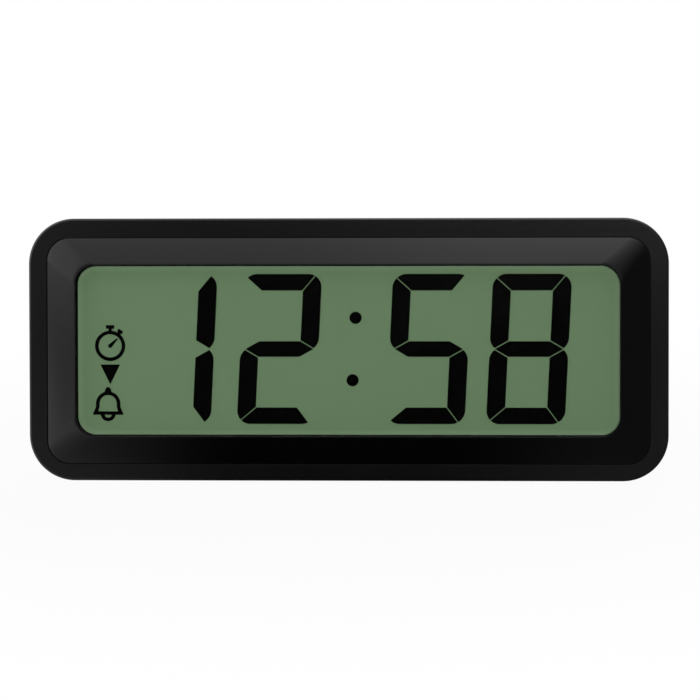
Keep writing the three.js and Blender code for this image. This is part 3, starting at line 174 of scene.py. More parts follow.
def carve(piece, cutters, operation="DIFFERENCE"):
    """Cuts with, or adds, each cutter, and clears the cutters away."""
    for cutter in cutters:
        only(piece)
        boolean = piece.modifiers.new("carve", "BOOLEAN")
        boolean.operation = operation
        boolean.solver = "EXACT"
        boolean.object = cutter
        bpy.ops.object.modifier_apply(modifier=boolean.name)
        bpy.data.objects.remove(cutter)
    return piece


def soften(piece, width=0.15, steps=2, angle=40):
    """A small round on every sharp edge, as any moulded or ground edge has."""
    only(piece)
    bevel = piece.modifiers.new("edge", "BEVEL")
    bevel.width = width * MM
    bevel.segments = steps
    bevel.limit_method = "ANGLE"
    bevel.angle_limit = math.radians(angle)
    bevel.use_clamp_overlap = True
    bpy.ops.object.modifier_apply(modifier=bevel.name)
    return piece


def smooth(piece, angle=35):
    """Smooth shading on round faces, while flat faces keep their own normal."""
    only(piece)
    bpy.ops.object.shade_smooth_by_angle(angle=math.radians(angle))
    weigh = piece.modifiers.new("flat faces lead", "WEIGHTED_NORMAL")
    weigh.keep_sharp = True
    bpy.ops.object.modifier_apply(modifier=weigh.name)
    return piece


def duplicate(piece, name):
    """A copy with a mesh of its own."""
    only(piece)
    bpy.ops.object.duplicate(linked=False)
    return named(name)


def join(name, pieces):
    ready()
    for piece in pieces:
        piece.select_set(True)
    bpy.context.view_layer.objects.active = pieces[0]
    bpy.ops.object.join()
    return named(name)


def lean(piece):
    """Leans an upright piece into the clock's place, and bakes that into its mesh."""
    only(piece)
    piece.matrix_world = STAND @ piece.matrix_world
    bake()
    return piece


def settle(piece, slot, node, body="clock_body"):
    """Gives a finished piece its body and its finish, and hides the imported node that it stands
    for.
    """
    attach(piece, body)
    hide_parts(node)
    piece.data.materials.clear()
    piece.data.materials.append(finishes[slot])
    print(piece.name, "on", body, "in", slot, len(piece.data.polygons), "faces")
    return piece


print("helpers ready")

# %% [markdown]
# A finish is a small net of shader nodes. Writing each sum as a Math node by hand is slow
# to read, so a socket is wrapped in a class that turns +, -, * and / into Math nodes.
# Every other node comes from one method, which takes its settings and its sockets' values.

# %% Shader sums as plain expressions
def operator(operation, turned=False):
    """A method that makes one Math node of a level and another value."""
    def make(self, other):
        pair = (other, self) if turned else (self, other)
        return self.finish.sum(operation, *pair)
    return make


class Level:
    """A number that varies over a surface: one output socket of a node."""

    def __init__(self, finish, socket):
        self.finish = finish
        self.socket = socket

    __add__ = __radd__ = operator("ADD")
    __sub__, __rsub__ = operator("SUBTRACT"), operator("SUBTRACT", True)
    __mul__ = __rmul__ = operator("MULTIPLY")
    __truediv__, __pow__ = operator("DIVIDE"), operator("POWER")


class Finish:
    """A material under construction."""

    def __init__(self, name):
        self.material = bpy.data.materials.new(name)
        self.material.use_nodes = True
        self.tree = self.material.node_tree
        self.tree.nodes.clear()
        self.place = self.node("TexCoord", out="Object")

    def node(self, kind, settings=None, values=None, out=0):
        """Adds a node of a kind, with its settings first and then its sockets' values."""
        made = self.tree.nodes.new("ShaderNode" + kind)
        for key, value in (settings or {}).items():
            if key == "stops":
                for spot, (position, colour) in enumerate(value):
                    stop = made.color_ramp.elements
                    stop = stop[spot] if spot < 2 else stop.new(position)
                    stop.position, stop.color = position, colour
            else:
                setattr(made, key, value)
        for key, value in (values or {}).items():
            if isinstance(value, Level):
                self.tree.links.new(value.socket, made.inputs[key])
            else:
                made.inputs[key].default_value = value
        return Level(self, made.outputs[out]) if made.outputs else None

    def sum(self, operation, first, second=0.0):
        """One Math node."""
        return self.node("Math", {"operation": operation}, {0: first, 1: second})

    def noise(self, scale, detail=2.0, roughness=0.5, place=None):
        """Soft noise from 0 to 1; scale is in patches per metre."""
        values = {"Vector": place or self.place, "Scale": scale, "Detail": detail,
                  "Roughness": roughness}
        return self.node("TexNoise", None, values, "Fac")

    def cells(self, scale):
        """Distance to the nearest of many scattered points."""
        values = {"Vector": self.place, "Scale": scale}
        return self.node("TexVoronoi", {"feature": "F1"}, values, "Distance")

    def stretch(self, x, y, z):
        """The place with each axis scaled, for brushed or drawn grain."""
        return self.node("Mapping", None, {"Vector": self.place, "Scale": (x, y, z)})

    def along(self, axis, place=None):
        """One coordinate of the place, in metres."""
        return self.node("SeparateXYZ", None, {"Vector": place or self.place}, axis)

    def off(self, level):
        """How far a coordinate in metres is from 0, either way, in millimetres."""
        return self.sum("ABSOLUTE", level, 0) * 1000

    def step(self, level, start, full):
        """0 up to start, 1 from full on, and smooth between; full may be the lower one."""
        values = {"Value": level, "From Min": start, "From Max": full}
        return self.node("MapRange", {"interpolation_type": "SMOOTHSTEP"}, values)

    def rise(self, level, start, full, strength):
        """A step that ends at a strength of its own."""
        return self.step(level, start, full) * strength

    def mix(self, share, first, second):
        """A colour between two others."""
        values = {0: share, 6: first, 7: second}
        return self.node("Mix", {"data_type": "RGBA"}, values, 2)

    def bump(self, height, strength, distance):
        values = {"Height": height, "Strength": strength, "Distance": distance}
        return self.node("Bump", None, values, "Normal")

    def surface(self, **values):
        """The whole finish; a name such as Base_Color stands for its socket."""
        sockets = {key.replace("_", " "): value for key, value in values.items()}
        return self.done(self.node("BsdfPrincipled", None, sockets))

    def done(self, shader):
        """Ends a finish with the shader that it shows."""
        self.node("OutputMaterial", None, {"Surface": shader})
        return self.material


def tone(red, green, blue):
    return (red, green, blue, 1)


def grey(level):
    return tone(level, level, level)


finishes = {}
print("shader sums ready")

# %% [markdown]
# The camera stands where the photographer's did: 0.7 m from the display, a little to its
# right and about 10 degrees above it. A long lens keeps the edges of the case nearly
# parallel, and two tiny shifts place the display in the frame.

# %% Camera
SIDE, HEIGHT, ROLL = math.radians(2.96), math.radians(10.13), math.radians(-0.515)
AWAY, LENS_PIXELS, PICTURE, MIDDLE_COLUMN, MIDDLE_ROW = 0.7, 3398, 700, 347.5, 349.7
outward = Vector(
    (math.sin(SIDE) * math.cos(HEIGHT), -math.cos(SIDE) * math.cos(HEIGHT), math.sin(HEIGHT))
)
level = outward.cross(Vector((0, 0, -1))).normalized()
upward = outward.cross(level).normalized()
rolled = level * math.cos(ROLL) + upward * math.sin(ROLL)
raised = upward * math.cos(ROLL) - level * math.sin(ROLL)
ready()
bpy.ops.object.camera_add(location=FACE_MIDDLE + outward * AWAY)
camera = bpy.context.object
camera.name = "camera"
camera.rotation_euler = Matrix((rolled, raised, outward)).transposed().to_euler()
camera.data.lens = LENS_PIXELS / PICTURE * camera.data.sensor_width
camera.data.shift_x = (PICTURE / 2 - MIDDLE_COLUMN) / PICTURE
camera.data.shift_y = (MIDDLE_ROW - PICTURE / 2) / PICTURE
bpy.context.scene.camera = camera
bpy.context.scene.view_settings.view_transform = "Standard"
print("lens", round(camera.data.lens, 2), "mm at", [round(v, 3) for v in camera.location])

# %% [markdown]
# Black gloss shows its surroundings. The floor and the sky are white to the eye and plain
# grey as lamps, but gloss sees a dark floor that grows lighter to the left, so that the
# lower band of the bezel stays black. Each light below is three numbers: where it starts,
# where it is full, and its strength.

# %% Floor and sky
FLOOR_SIZE, FLOOR_MOST, CONTACT_SHADE = 12, 4.0, (0.2, 0.06, 0.05)
FLOOR_LEFT, FLOOR_RIGHT = (-0.022, -0.11, 3.5), (0.02, 0.055, 0.35)
FLOOR_BEHIND, BEHIND_LIGHT, SKY_LAMP = (0.0, 0.03), 1.3, 0.1


def seen(finish):
    """1 where the eye, a reflection or a view through glass meets the surface."""
    path = {name: finish.node("LightPath", out=name)
            for name in ("Is Camera Ray", "Is Glossy Ray", "Is Transmission Ray")}
    either = finish.sum("MAXIMUM", path["Is Camera Ray"], path["Is Glossy Ray"])
    return finish.sum("MAXIMUM", either, path["Is Transmission Ray"])


def glow(finish, strength, most):
    """Light of a strength that varies over a surface, up to the most that is named."""
    colour = finish.mix(strength / most, grey(0), grey(1))
    return finish.node("Emission", None, {"Color": colour, "Strength": most})


ready()
bpy.ops.mesh.primitive_plane_add(size=FLOOR_SIZE, location=(0, 0, 0))
floor = named("floor")
paint = Finish("studio floor")
grit = paint.noise(900, 2)
cloth = paint.node("BsdfDiffuse", None, {"Color": grey(0.55)})
white = paint.node("Emission", None, {"Color": grey(1), "Strength": 1.0})
paper_colour = paint.mix(grit, grey(0.93), grey(0.97))
paper = paint.node("BsdfDiffuse", None, {"Color": paper_colour})
far = paint.node("VectorMath", {"operation": "LENGTH"}, {0: paint.place}, "Value")
near = paint.rise(far, *CONTACT_SHADE)
bright = paint.node("MixShader", None, {0: near, 1: white, 2: paper})
floor_x = paint.along("X")
mirrored = paint.rise(floor_x, *FLOOR_LEFT) + paint.rise(floor_x, *FLOOR_RIGHT)
behind = paint.step(paint.along("Y"), *FLOOR_BEHIND)
mirrored = mirrored * (1 - behind) + behind * BEHIND_LIGHT
glossy = paint.node("LightPath", out="Is Glossy Ray")
cloths = {0: glossy, 1: bright, 2: glow(paint, mirrored, FLOOR_MOST)}
shown = paint.node("MixShader", None, cloths)
floor.data.materials.append(
    paint.done(paint.node("MixShader", None, {0: seen(paint), 1: cloth, 2: shown}))
)

sky = bpy.data.worlds.new("sky")
sky.use_nodes = True
bpy.context.scene.world = sky


class Sky(Finish):
    """The same helpers for the nodes of a world."""

    def __init__(self, world):
        self.tree = world.node_tree
        self.tree.nodes.clear()


air = Sky(sky)
dim = air.node("Background", None, {"Color": grey(1), "Strength": SKY_LAMP})
pale = air.node("Background", None, {"Color": grey(1), "Strength": 1.0})
both = air.node("MixShader", None, {0: seen(air), 1: dim, 2: pale})
air.node("OutputWorld", None, {"Surface": both})
print("floor and sky ready")

# %% [markdown]
# A studio is rebuilt as one light tent: a ball round the clock that only gloss can see,
# painted with light. Straight ahead it is nearly black, which keeps the window clear.
# Round that hole lies a bright ring that gives the bezel its grey bands: strongest above
# and at the left, with a dip there, and fading down to the right. Inside the hole stand
# panels for the rim, and one faint slanting edge for the window.

# %% Light tent
TENT_RADIUS, TENT_MOST, DARK = 0.5, 8.0, 0.03
HOLE_LEFT, HOLE_UP, HOLE_EDGE = 0.02, 0.08, (0.2, 0.3)
RING_ALL, RING_RIGHT, RING_LEFT = 3.4, (-0.05, 0.03, 1.8), (-0.14, -0.3, 1.3)
DIP_SIDE, DIP_TILT = (-0.2, -0.3), 0.18
DIP_TOP, DIP_FOOT = (0.159, 0.128, 2.9), (0.113, 0.093, 1.6)
FADE_TILT, FADE_START, FADE_LENGTH, FADE_BEND, FADE_END = 1.1, 0.2, 0.55, 1.5, 0.3
NEARER_BELOW = (0.055, 0.04, 0.04)
PANEL_LEFT, PANEL_RIGHT = (-0.121, -0.131, 0.6), (0.072, 0.084, 0.5)
PANEL_TOP, TOP_ALL, TOP_RIGHT = (0.109, 0.12), 0.45, (-0.1, 0.1, 0.7)
EDGE_TILT, EDGE, EDGE_ACROSS, EDGE_STRENGTH = 0.305, (0.0785, 0.0795), (-0.1, 0.03), 0.04
BACK_HALF, BACK_ALL, BACK_HIGH = (0.0, 0.2), 1.7, (0.1, 0.4, 1.6)

ready()
bpy.ops.mesh.primitive_uv_sphere_add(segments=64, ring_count=32, radius=TENT_RADIUS,
                                     location=FACE_MIDDLE)
tent = named("light_tent")
bake()
tent.visible_camera = tent.visible_diffuse = tent.visible_shadow = False
inside = Finish("light tent")
x, y, z = (inside.along(axis) for axis in "XYZ")
off_hole = ((x + HOLE_LEFT) ** 2.0 + (z - HOLE_UP) ** 2.0) ** 0.5
ring = inside.step(off_hole, *HOLE_EDGE)
tilted = z - x * DIP_TILT
dip = inside.rise(tilted, *DIP_TOP) - inside.rise(tilted, *DIP_FOOT)
above = inside.rise(x, *RING_RIGHT) + inside.rise(x, *RING_LEFT) + RING_ALL
slope = (z - x * FADE_TILT + FADE_START) / FADE_LENGTH
fade = inside.sum("MINIMUM", inside.sum("MAXIMUM", slope, 0.0), 1.0) ** FADE_BEND
frame_light = (above - dip * inside.step(x, *DIP_SIDE)) * fade + FADE_END
low = inside.rise(z, *NEARER_BELOW)
side_panels = inside.rise(x - low, *PANEL_LEFT) + inside.rise(x + low, *PANEL_RIGHT)
top_panel = inside.step(z, *PANEL_TOP) * (inside.rise(x, *TOP_RIGHT) + TOP_ALL)
slant = inside.step(z - x * EDGE_TILT, *EDGE) * inside.step(x, *EDGE_ACROSS) * EDGE_STRENGTH
front = (side_panels + top_panel) * (1 - ring) + slant + ring * frame_light + DARK
behind = inside.step(y, *BACK_HALF)
back = inside.rise(z, *BACK_HIGH) + BACK_ALL
light = front * (1 - behind) + back * behind
tent.data.materials.append(inside.done(glow(inside, light, TENT_MOST)))
print("tent", len(tent.data.polygons), "faces")

# %% [markdown]
# The tent is for gloss alone. The light itself comes from three broad lamps, which gloss
# doesn't see: a weak key high in front, a strong fill near the eye, so that the bezel
# throws no shadow on the display, and one behind, for the keys and the door.

# %% Lamps
def lamp(name, around, up, away, size, power):
    """A round lamp that looks at the display from degrees around and up."""
    turn = Euler((math.pi / 2 - math.radians(up), 0, math.radians(around)))
    place = FACE_MIDDLE + turn.to_matrix() @ Vector((0, 0, away))
    ready()
    bpy.ops.object.light_add(type="AREA", location=place, rotation=turn)
    light = bpy.context.object
    light.name = light.data.name = name
    light.data.shape = "DISK"
    light.data.size = size
    light.data.energy = power
    light.visible_camera = light.visible_glossy = False
    print(name, power, "W at", [round(v, 2) for v in place])


lamp("key", around=12, up=40, away=1.3, size=0.9, power=1.5)
lamp("fill", around=2, up=9, away=1.4, size=0.25, power=14)
lamp("back", around=170, up=40, away=1.4, size=0.9, power=8)

# %% [markdown]
# The case is black plastic from a steel mould. Its front is satin, with a fine, even grain
# and a faint cloudiness where the plastic cooled. The bezel comes from a polished part of
# the mould, so it keeps only long, shallow waves and a little dust.

# %% Black plastics
def moulded(slot, name, low, high, rough, grain, depth, shine):
    """Moulded plastic: colour clouds, a grain of its own size, and gloss that varies."""
    finish = Finish(name)
    clouds = finish.noise(45, 3, 0.6)
    fine = finish.noise(grain, 3, 0.55)
    finishes[slot] = finish.surface(
        Base_Color=finish.mix(clouds, low, high),
        Roughness=clouds * 0.06 + fine * 0.06 + (rough - 0.06),
        Specular_IOR_Level=shine,
        Normal=finish.bump(fine, 0.5, depth),
    )


moulded("case", "satin black case", tone(0.0026, 0.0026, 0.0027),
        tone(0.0032, 0.0032, 0.0034), rough=0.17, grain=5200, depth=6e-6, shine=0.17)
moulded("switch_body", "switch moulding", tone(0.008, 0.008, 0.009),
        tone(0.014, 0.014, 0.015), rough=0.45, grain=3000, depth=2e-5, shine=0.4)
moulded("holder", "natural white moulding", tone(0.62, 0.62, 0.58), tone(0.7, 0.7, 0.66),
        rough=0.5, grain=2500, depth=2e-5, shine=0.5)

# The polished bezel has long waves, and specks of dust that dull the gloss.
finish = Finish("polished black bezel")
dust = finish.step(finish.cells(700), 0.16, 0.06)
finishes["bezel"] = finish.surface(
    Base_Color=finish.mix(dust, tone(0.0012, 0.0012, 0.0013), grey(0.0022)),
    Roughness=finish.noise(9, 2) * 0.05 + dust * 0.1 + 0.13,
    Specular_IOR_Level=0.1,
    Normal=finish.bump(finish.noise(28, 1, 0.3), 0.15, 0.0002),
)
print("finishes so far", sorted(finishes))

# %% [markdown]
# The display has a clear window with two sheets of glass behind it. Clear plastic is a
# mix: mostly see-through, and a mirror that grows towards a glancing look, which is what
# the Facing value of Layer Weight gives. The green is the back of the rear glass: an even
# grey-green with a pearly grain. Near its edge it is painted paler, as painted light that
# makes up for the shade the bezel casts there, and a thin near-black line is painted just
# inside that edge, where the bezel meets it. How far a spot lies inside a rectangle with
# round corners is its distance from the nearest side, or in a corner its distance from the
# corner's circle.

# %% Window, glass, green ground and dark strokes
def clear(slot, name, tint, mirror, rough):
    """See-through, with a mirror that grows towards a glancing look."""
    finish = Finish(name)
    facing = finish.node("LayerWeight", None, {"Blend": 0.5}, "Facing")
    gloss = {"Color": grey(1), "Roughness": finish.noise(35, 3) * 0.04 + rough}
    sheet = {
        0: facing ** 5.0 * 0.55 + mirror,
        1: finish.node("BsdfTransparent", None, {"Color": tint}),
        2: finish.node("BsdfGlossy", None, gloss),
    }
    finishes[slot] = finish.done(finish.node("MixShader", None, sheet))


clear("window", "clear acrylic window", tone(0.985, 0.99, 0.985), mirror=0.01, rough=0.02)
clear("display_glass", "display glass", tone(0.99, 0.995, 0.99), mirror=0.001, rough=0.01)

# Sizes of the border in millimetres, and where each change of colour starts and ends.
HALF_ACROSS, HALF_UP, BORDER_CORNER, BORDER_DROP = 56.05, 17.43, 3.8, 0.24
PAINTED_EDGE_LIGHT, BORDER_EDGE = (-1.5, 0.1, 0.7), (-0.02, 0.02)
finish = Finish("grey-green display ground")
turn = STAND.inverted()
values = {"Vector": finish.place, "Location": turn.to_translation(), "Rotation": turn.to_euler()}
drawn = finish.node("Mapping", {"vector_type": "POINT"}, values)
pearl = finish.noise(3200, 2, 0.6, drawn)
drift = finish.noise(14, 2, 0.5, drawn)
past_side = finish.off(finish.along("X", drawn)) - HALF_ACROSS + BORDER_CORNER
above = finish.along("Z", drawn) + BORDER_DROP * MM
past_top = finish.off(above) - HALF_UP + BORDER_CORNER
corner_x, corner_z = (finish.sum("MAXIMUM", past, 0) for past in (past_side, past_top))
nearer = finish.sum("MINIMUM", finish.sum("MAXIMUM", past_side, past_top), 0)
edge = (corner_x ** 2.0 + corner_z ** 2.0) ** 0.5 + nearer - BORDER_CORNER
green = finish.mix(drift, tone(0.131, 0.205, 0.11), tone(0.138, 0.213, 0.117))
green = finish.mix(pearl * 0.25, green, tone(0.15, 0.222, 0.13))
# Painted light: the ground is painted paler near its edge, to make up for the shade that the
# bezel casts there.
green = finish.mix(finish.rise(edge, *PAINTED_EDGE_LIGHT), green, tone(0.19, 0.28, 0.163))
# A thin near-black line is painted just inside the edge, where the bezel meets the ground.
green = finish.mix(finish.step(edge, *BORDER_EDGE), green, tone(0.0004, 0.0006, 0.0004))
finishes["display_ground"] = finish.surface(
    Base_Color=green,
    Roughness=pearl * 0.1 + 0.45,
    Specular_IOR_Level=0.15,
    Normal=finish.bump(pearl, 0.2, 0.00001),
)

# A driven stroke lets almost no light back.
finish = Finish("driven display stroke")
fine = finish.noise(2600, 2)
finishes["segment"] = finish.surface(
    Base_Color=finish.mix(fine, tone(0.0002, 0.0003, 0.0002), tone(0.0006, 0.0008, 0.0006)),
    Roughness=fine * 0.1 + 0.15,
    Specular_IOR_Level=0.02,
)
print("finishes so far", sorted(finishes))

# %% [markdown]
# Rubber is rougher than plastic and never quite even. The keys and the slider are silicone
# with a fine matt skin, the feet are a softer rubber with a coarser one, and the foam
# round the display is a mass of tiny open cells.

# %% Rubber and foam
def rubbery(slot, name, low, high, grain, depth, rough):
    """A matt skin with a grain, worn in broad patches."""
    finish = Finish(name)
    skin = finish.noise(grain, 4, 0.65)
    finishes[slot] = finish.surface(
        Base_Color=finish.mix(finish.noise(160, 2) * 0.6 + skin * 0.4, low, high),
        Roughness=skin * 0.12 + rough,
        Specular_IOR_Level=0.3,
        Normal=finish.bump(skin, 0.6, depth),
    )


rubbery("key", "dark grey silicone", tone(0.02, 0.02, 0.021), tone(0.032, 0.032, 0.034),
        grain=4200, depth=2e-5, rough=0.55)
rubbery("pad", "soft black rubber", grey(0.01), tone(0.019, 0.019, 0.018),
        grain=2600, depth=4e-5, rough=0.72)
rubbery("wire_black", "black insulation", grey(0.008), grey(0.013),
        grain=3000, depth=1e-5, rough=0.4)
rubbery("wire_red", "red insulation", tone(0.3, 0.01, 0.01), tone(0.4, 0.015, 0.012),
        grain=3000, depth=1e-5, rough=0.4)

finish = Finish("black foam")
holes = finish.step(finish.cells(4200), 0.1, 0.5)
finishes["gasket"] = finish.surface(
    Base_Color=finish.mix(holes, grey(0.003), grey(0.012)),
    Roughness=holes * 0.1 + 0.85,
    Specular_IOR_Level=0.1,
    Normal=finish.bump(holes, 0.8, 0.00005),
)

# The contact strip has hair-thin dark layers of carbon across its length.
finish = Finish("layered contact rubber")
bands = finish.sum("SINE", finish.along("X") * 12000, 0) * 0.5 + 0.5
finishes["contact_rubber"] = finish.surface(
    Base_Color=finish.mix(bands, tone(0.35, 0.35, 0.33), grey(0.06)),
    Roughness=bands * 0.15 + 0.5,
)
print("finishes so far", len(finishes))

# %% [markdown]
# Metal shows how it was made. Screws are zinc plated: a bright film over fine crystals.
# Contacts are rolled strip, with long faint lines, and so is the sounder's brass disc.
# Each is a metallic surface whose roughness follows stretched noise.

# %% Metals
def metal(slot, name, low, high, rough, grain):
    """Bare metal: the grain is in patches per metre along x, y and z."""
    finish = Finish(name)
    lines = finish.noise(1, 3, 0.6, finish.stretch(*grain))
    stain = finish.noise(220, 3)
    finishes[slot] = finish.surface(
        Base_Color=finish.mix(stain, low, high),
        Metallic=1.0,
        Roughness=lines * 0.2 + stain * 0.06 + rough,
        Normal=finish.bump(lines, 0.35, 0.000004),
    )


metal("screw_steel", "zinc plated steel", tone(0.42, 0.42, 0.43), tone(0.56, 0.56, 0.55),
      rough=0.24, grain=(2400, 2400, 2400))
metal("contact_steel", "nickel plated strip", tone(0.55, 0.54, 0.51), tone(0.66, 0.65, 0.62),
      rough=0.16, grain=(300, 4200, 4200))
metal("brass", "rolled brass", tone(0.5, 0.35, 0.11), tone(0.6, 0.45, 0.17),
      rough=0.2, grain=(350, 3500, 5000))
metal("foil", "diffuse reflector", tone(0.45, 0.47, 0.44), tone(0.55, 0.56, 0.53),
      rough=0.4, grain=(900, 900, 900))
print("finishes so far", len(finishes))

# %% [markdown]
# Inside are two circuit boards, a ribbon cable and two dry cells. A board is glass fibre
# under a green lacquer: copper tracks stand a hair proud below it, so they look lighter.
# A cell wears a dark printed wrap with a pale band near each end, and its ends are bare
# steel. Last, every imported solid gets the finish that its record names.

# %% Circuit board, ribbon, resin and dry cell
finish = Finish("green circuit board")
grid = {"Vector": finish.stretch(1, 1, 1), "Scale": 420.0, "Color1": grey(0),
        "Color2": grey(0.1), "Mortar": grey(1), "Mortar Size": 0.05}
tracks = finish.node("TexBrick", {"offset": 0.37, "squash": 0.8}, grid, "Fac")
holes = finish.step(finish.cells(330), 0.12, 0.08)
green = finish.mix(tracks, tone(0.012, 0.09, 0.026), tone(0.03, 0.17, 0.05))
finishes["circuit"] = finish.surface(
    Base_Color=finish.mix(holes, green, tone(0.45, 0.43, 0.36)),
    Roughness=holes * 0.15 + 0.28,
    Metallic=holes * 0.8,
    Normal=finish.bump(tracks, 0.5, 0.00003),
)

# The ribbon has parallel cores with a groove between each pair.
finish = Finish("grey ribbon cable")
cores = finish.sum("SINE", finish.along("X") * 6283, 0) * 0.5 + 0.5
finishes["ribbon"] = finish.surface(
    Base_Color=finish.mix(cores, tone(0.4, 0.4, 0.38), tone(0.62, 0.62, 0.59)),
    Roughness=cores * 0.1 + 0.4,
    Normal=finish.bump(cores, 0.7, 0.0001),
)

BAND_START, BAND_END, STEEL_START = (13.2, 13.3), (15.0, 14.9), (21.0, 21.1)
finish = Finish("dry cell wrap")
off = finish.off(finish.along("X"))
steel = finish.step(off, *STEEL_START)
scuff = finish.noise(1, 3, 0.6, finish.stretch(200, 1500, 1500))
wrap = finish.mix(scuff, tone(0.018, 0.03, 0.045), tone(0.03, 0.045, 0.065))
band = finish.step(off, *BAND_START) * finish.step(off, *BAND_END)
wrap = finish.mix(band, wrap, tone(0.55, 0.55, 0.52))
finishes["cell"] = finish.surface(
    Base_Color=finish.mix(steel, wrap, tone(0.56, 0.55, 0.53)),
    Metallic=steel * 0.95,
    Roughness=scuff * 0.18 + 0.22,
)
moulded("epoxy", "poured black resin", grey(0.004), grey(0.009),
        rough=0.3, grain=1500, depth=3e-5, shine=0.5)

for part in frame["record"]["subparts"]:
    node = frame["nodes"][part["node"]]
    node.data.materials.clear()
    node.data.materials.append(finishes[part["material_slot"]])
print(len(finishes), "finishes on", len(frame["nodes"]), "nodes")

# %% [markdown]
# The front case is a shallow tray with round corners. A plate gets its outer size, and its
# front edge is rounded while it is still one clean loop. Only then are the hollow and the
# seat of the bezel cut, and a rim added that enters the rear shell. The clock leans on a
# level floor, so the underside is bisected flat.

# %% Front case
CASE_WIDTH, CASE_HEIGHT, CASE_CORNER, FRONT_DEPTH, WALL = 132, 54.2, 9.4, 10, 2
EDGE_ROUND, RIM_OUTSIDE, RIM_INSIDE = 0.5, 2.3, 3.3
SEAT, SEAT_MIDDLE = (124.6, 46.9, 4.85), -0.25
OPENING, OPENING_MIDDLE = (115.2, 40.9, 2.0), -1.3


def level_cut(piece, inset=0):
    """Cuts an upright piece flat where the floor will be, or an inset above it."""
    edit(piece)
    bpy.ops.mesh.bisect(
        plane_co=(0, 0, (inset - CASE_HEIGHT / 2) * MM),
        plane_no=(0, math.sin(LEAN), -math.cos(LEAN)),
        clear_outer=True,
        use_fill=True,
    )
    leave()
    return piece


def drawn_in(name, inset, front, back):
    """A plate with the case's outline, smaller by an inset all round."""
    width, height = CASE_WIDTH - 2 * inset, CASE_HEIGHT - 2 * inset
    plate = slab(name, width, height, CASE_CORNER - inset, front, back, steps=20)
    return level_cut(plate, inset)


front_case = slab("front_case", CASE_WIDTH, CASE_HEIGHT, CASE_CORNER, 0, FRONT_DEPTH, steps=20)
edit(front_case)
pick(front_case, lambda edge: all(v.co.y < 0.01 * MM for v in edge.verts), "edges")
bpy.ops.mesh.bevel(offset=EDGE_ROUND * MM, segments=5)
level_cut(front_case)
hollow = drawn_in("hollow", WALL, WALL, FRONT_DEPTH + 1)
seat = slab("seat", *SEAT, -1, 1, (0, SEAT_MIDDLE), 20)
opening = slab("opening", *OPENING, -1, 3, (0, OPENING_MIDDLE), 8)
carve(front_case, [hollow, seat, opening])
rim = drawn_in("rim", RIM_OUTSIDE, 8.4, 11.6)
carve(rim, [drawn_in("inside", RIM_INSIDE, 8, 12)])
carve(front_case, [rim], "UNION")
soften(front_case, 0.12, 2, 50)
smooth(front_case, 40)
settle(lean(front_case), "case", "front_shell")

# %% [markdown]
# The bezel climbs from the case to a narrow lip round the window, and its face swells
# slightly on the way, so that light slides over it. Two round-cornered loops are bridged
# with rows between, and each row is lifted by its share of the swell, highest row first so
# that none is picked twice. The lip, the inner wall and the rebate are drawn out of the
# edge. The wall is undercut a little, so that from in front it doesn't mirror the green.

# %% Bezel
BEZEL, BEZEL_MIDDLE = (124.3, 46.6, 4.7), -0.25
WINDOW, WINDOW_MIDDLE = (111.8, 35.1, 4.0), -0.2
RISE, CROWN, LIP, ROWS, UNDERCUT = 3.0, 0.35, 0.25, 9, 0.2
INNER_WALL, REBATE, REBATE_DEPTH, SKIRT = 1.0, (114.5, 37.8), 2.9, 0.9


def loop_plate(width, height, corner, y, middle, steps=14):
    """In edit mode, adds an open loop: a round-cornered plate without its face."""
    bpy.ops.mesh.select_all(action="DESELECT")
    bpy.ops.mesh.primitive_plane_add(
        size=1, location=(0, y * MM, middle * MM), rotation=(math.pi / 2, 0, 0)
    )
    size = (width * MM, 1, height * MM)
    bpy.ops.transform.resize(value=size, center_override=(0, y * MM, middle * MM))
    bpy.ops.mesh.bevel(offset=corner * MM, segments=steps, affect="VERTICES")
    bpy.ops.mesh.delete(type="ONLY_FACE")


def draw_out(depth, old=(1, 1), new=(1, 1)):
    """Extrudes the selected loop back by a depth, or resizes it from old to new."""
    bpy.ops.mesh.extrude_edges_move(TRANSFORM_OT_translate={"value": (0, depth * MM, 0)})
    change = (new[0] / old[0], 1, new[1] / old[1])
    bpy.ops.transform.resize(value=change, center_override=(0, 0, WINDOW_MIDDLE * MM))


ready()
bpy.ops.mesh.primitive_plane_add(size=1)
bezel = named("bezel_frame")
edit(bezel)
bpy.ops.mesh.delete(type="VERT")
lip = (WINDOW[0] + 2 * LIP, WINDOW[1] + 2 * LIP, WINDOW[2] + LIP)
loop_plate(*BEZEL, 0, BEZEL_MIDDLE)
loop_plate(*lip, -RISE, WINDOW_MIDDLE)
bpy.ops.mesh.select_all(action="SELECT")
bpy.ops.mesh.bridge_edge_loops(number_cuts=ROWS, interpolation="LINEAR")
for row in range(ROWS, 0, -1):
    share = row / (ROWS + 1)
    height = -RISE * share * MM
    pick(bezel, lambda vert: abs(vert.co.y - height) < 0.02 * MM, "verts")
    swell = CROWN * 4 * share * (1 - share)
    bpy.ops.transform.translate(value=(0, -swell * MM, 0))
pick(bezel, lambda edge: all(abs(v.co.y + RISE * MM) < 0.01 * MM for v in edge.verts), "edges")
draw_out(0, lip, WINDOW)
wide = (WINDOW[0] + 2 * UNDERCUT, WINDOW[1] + 2 * UNDERCUT)
draw_out(INNER_WALL, WINDOW, wide)
draw_out(0, wide, REBATE)
draw_out(REBATE_DEPTH)
pick(bezel, lambda edge: edge.is_boundary and edge.verts[0].co.y > -0.01 * MM
     and edge.verts[1].co.y < 0.01 * MM and abs(middle_of(edge).y) < 0.01, "edges")
draw_out(SKIRT)
pick(bezel, lambda edge: edge.is_boundary, "edges")
bpy.ops.mesh.bridge_edge_loops()
bpy.ops.mesh.select_all(action="SELECT")
bpy.ops.mesh.normals_make_consistent(inside=False)
soften(bezel, 0.1, 3, 50)
smooth(bezel, 40)
settle(lean(bezel), "bezel", "bezel")

# %% [markdown]
# The window is a flat sheet of clear plastic: a plate with round corners. Its tiny bevel
# matters, as the line of light that shows where the window meets its frame.

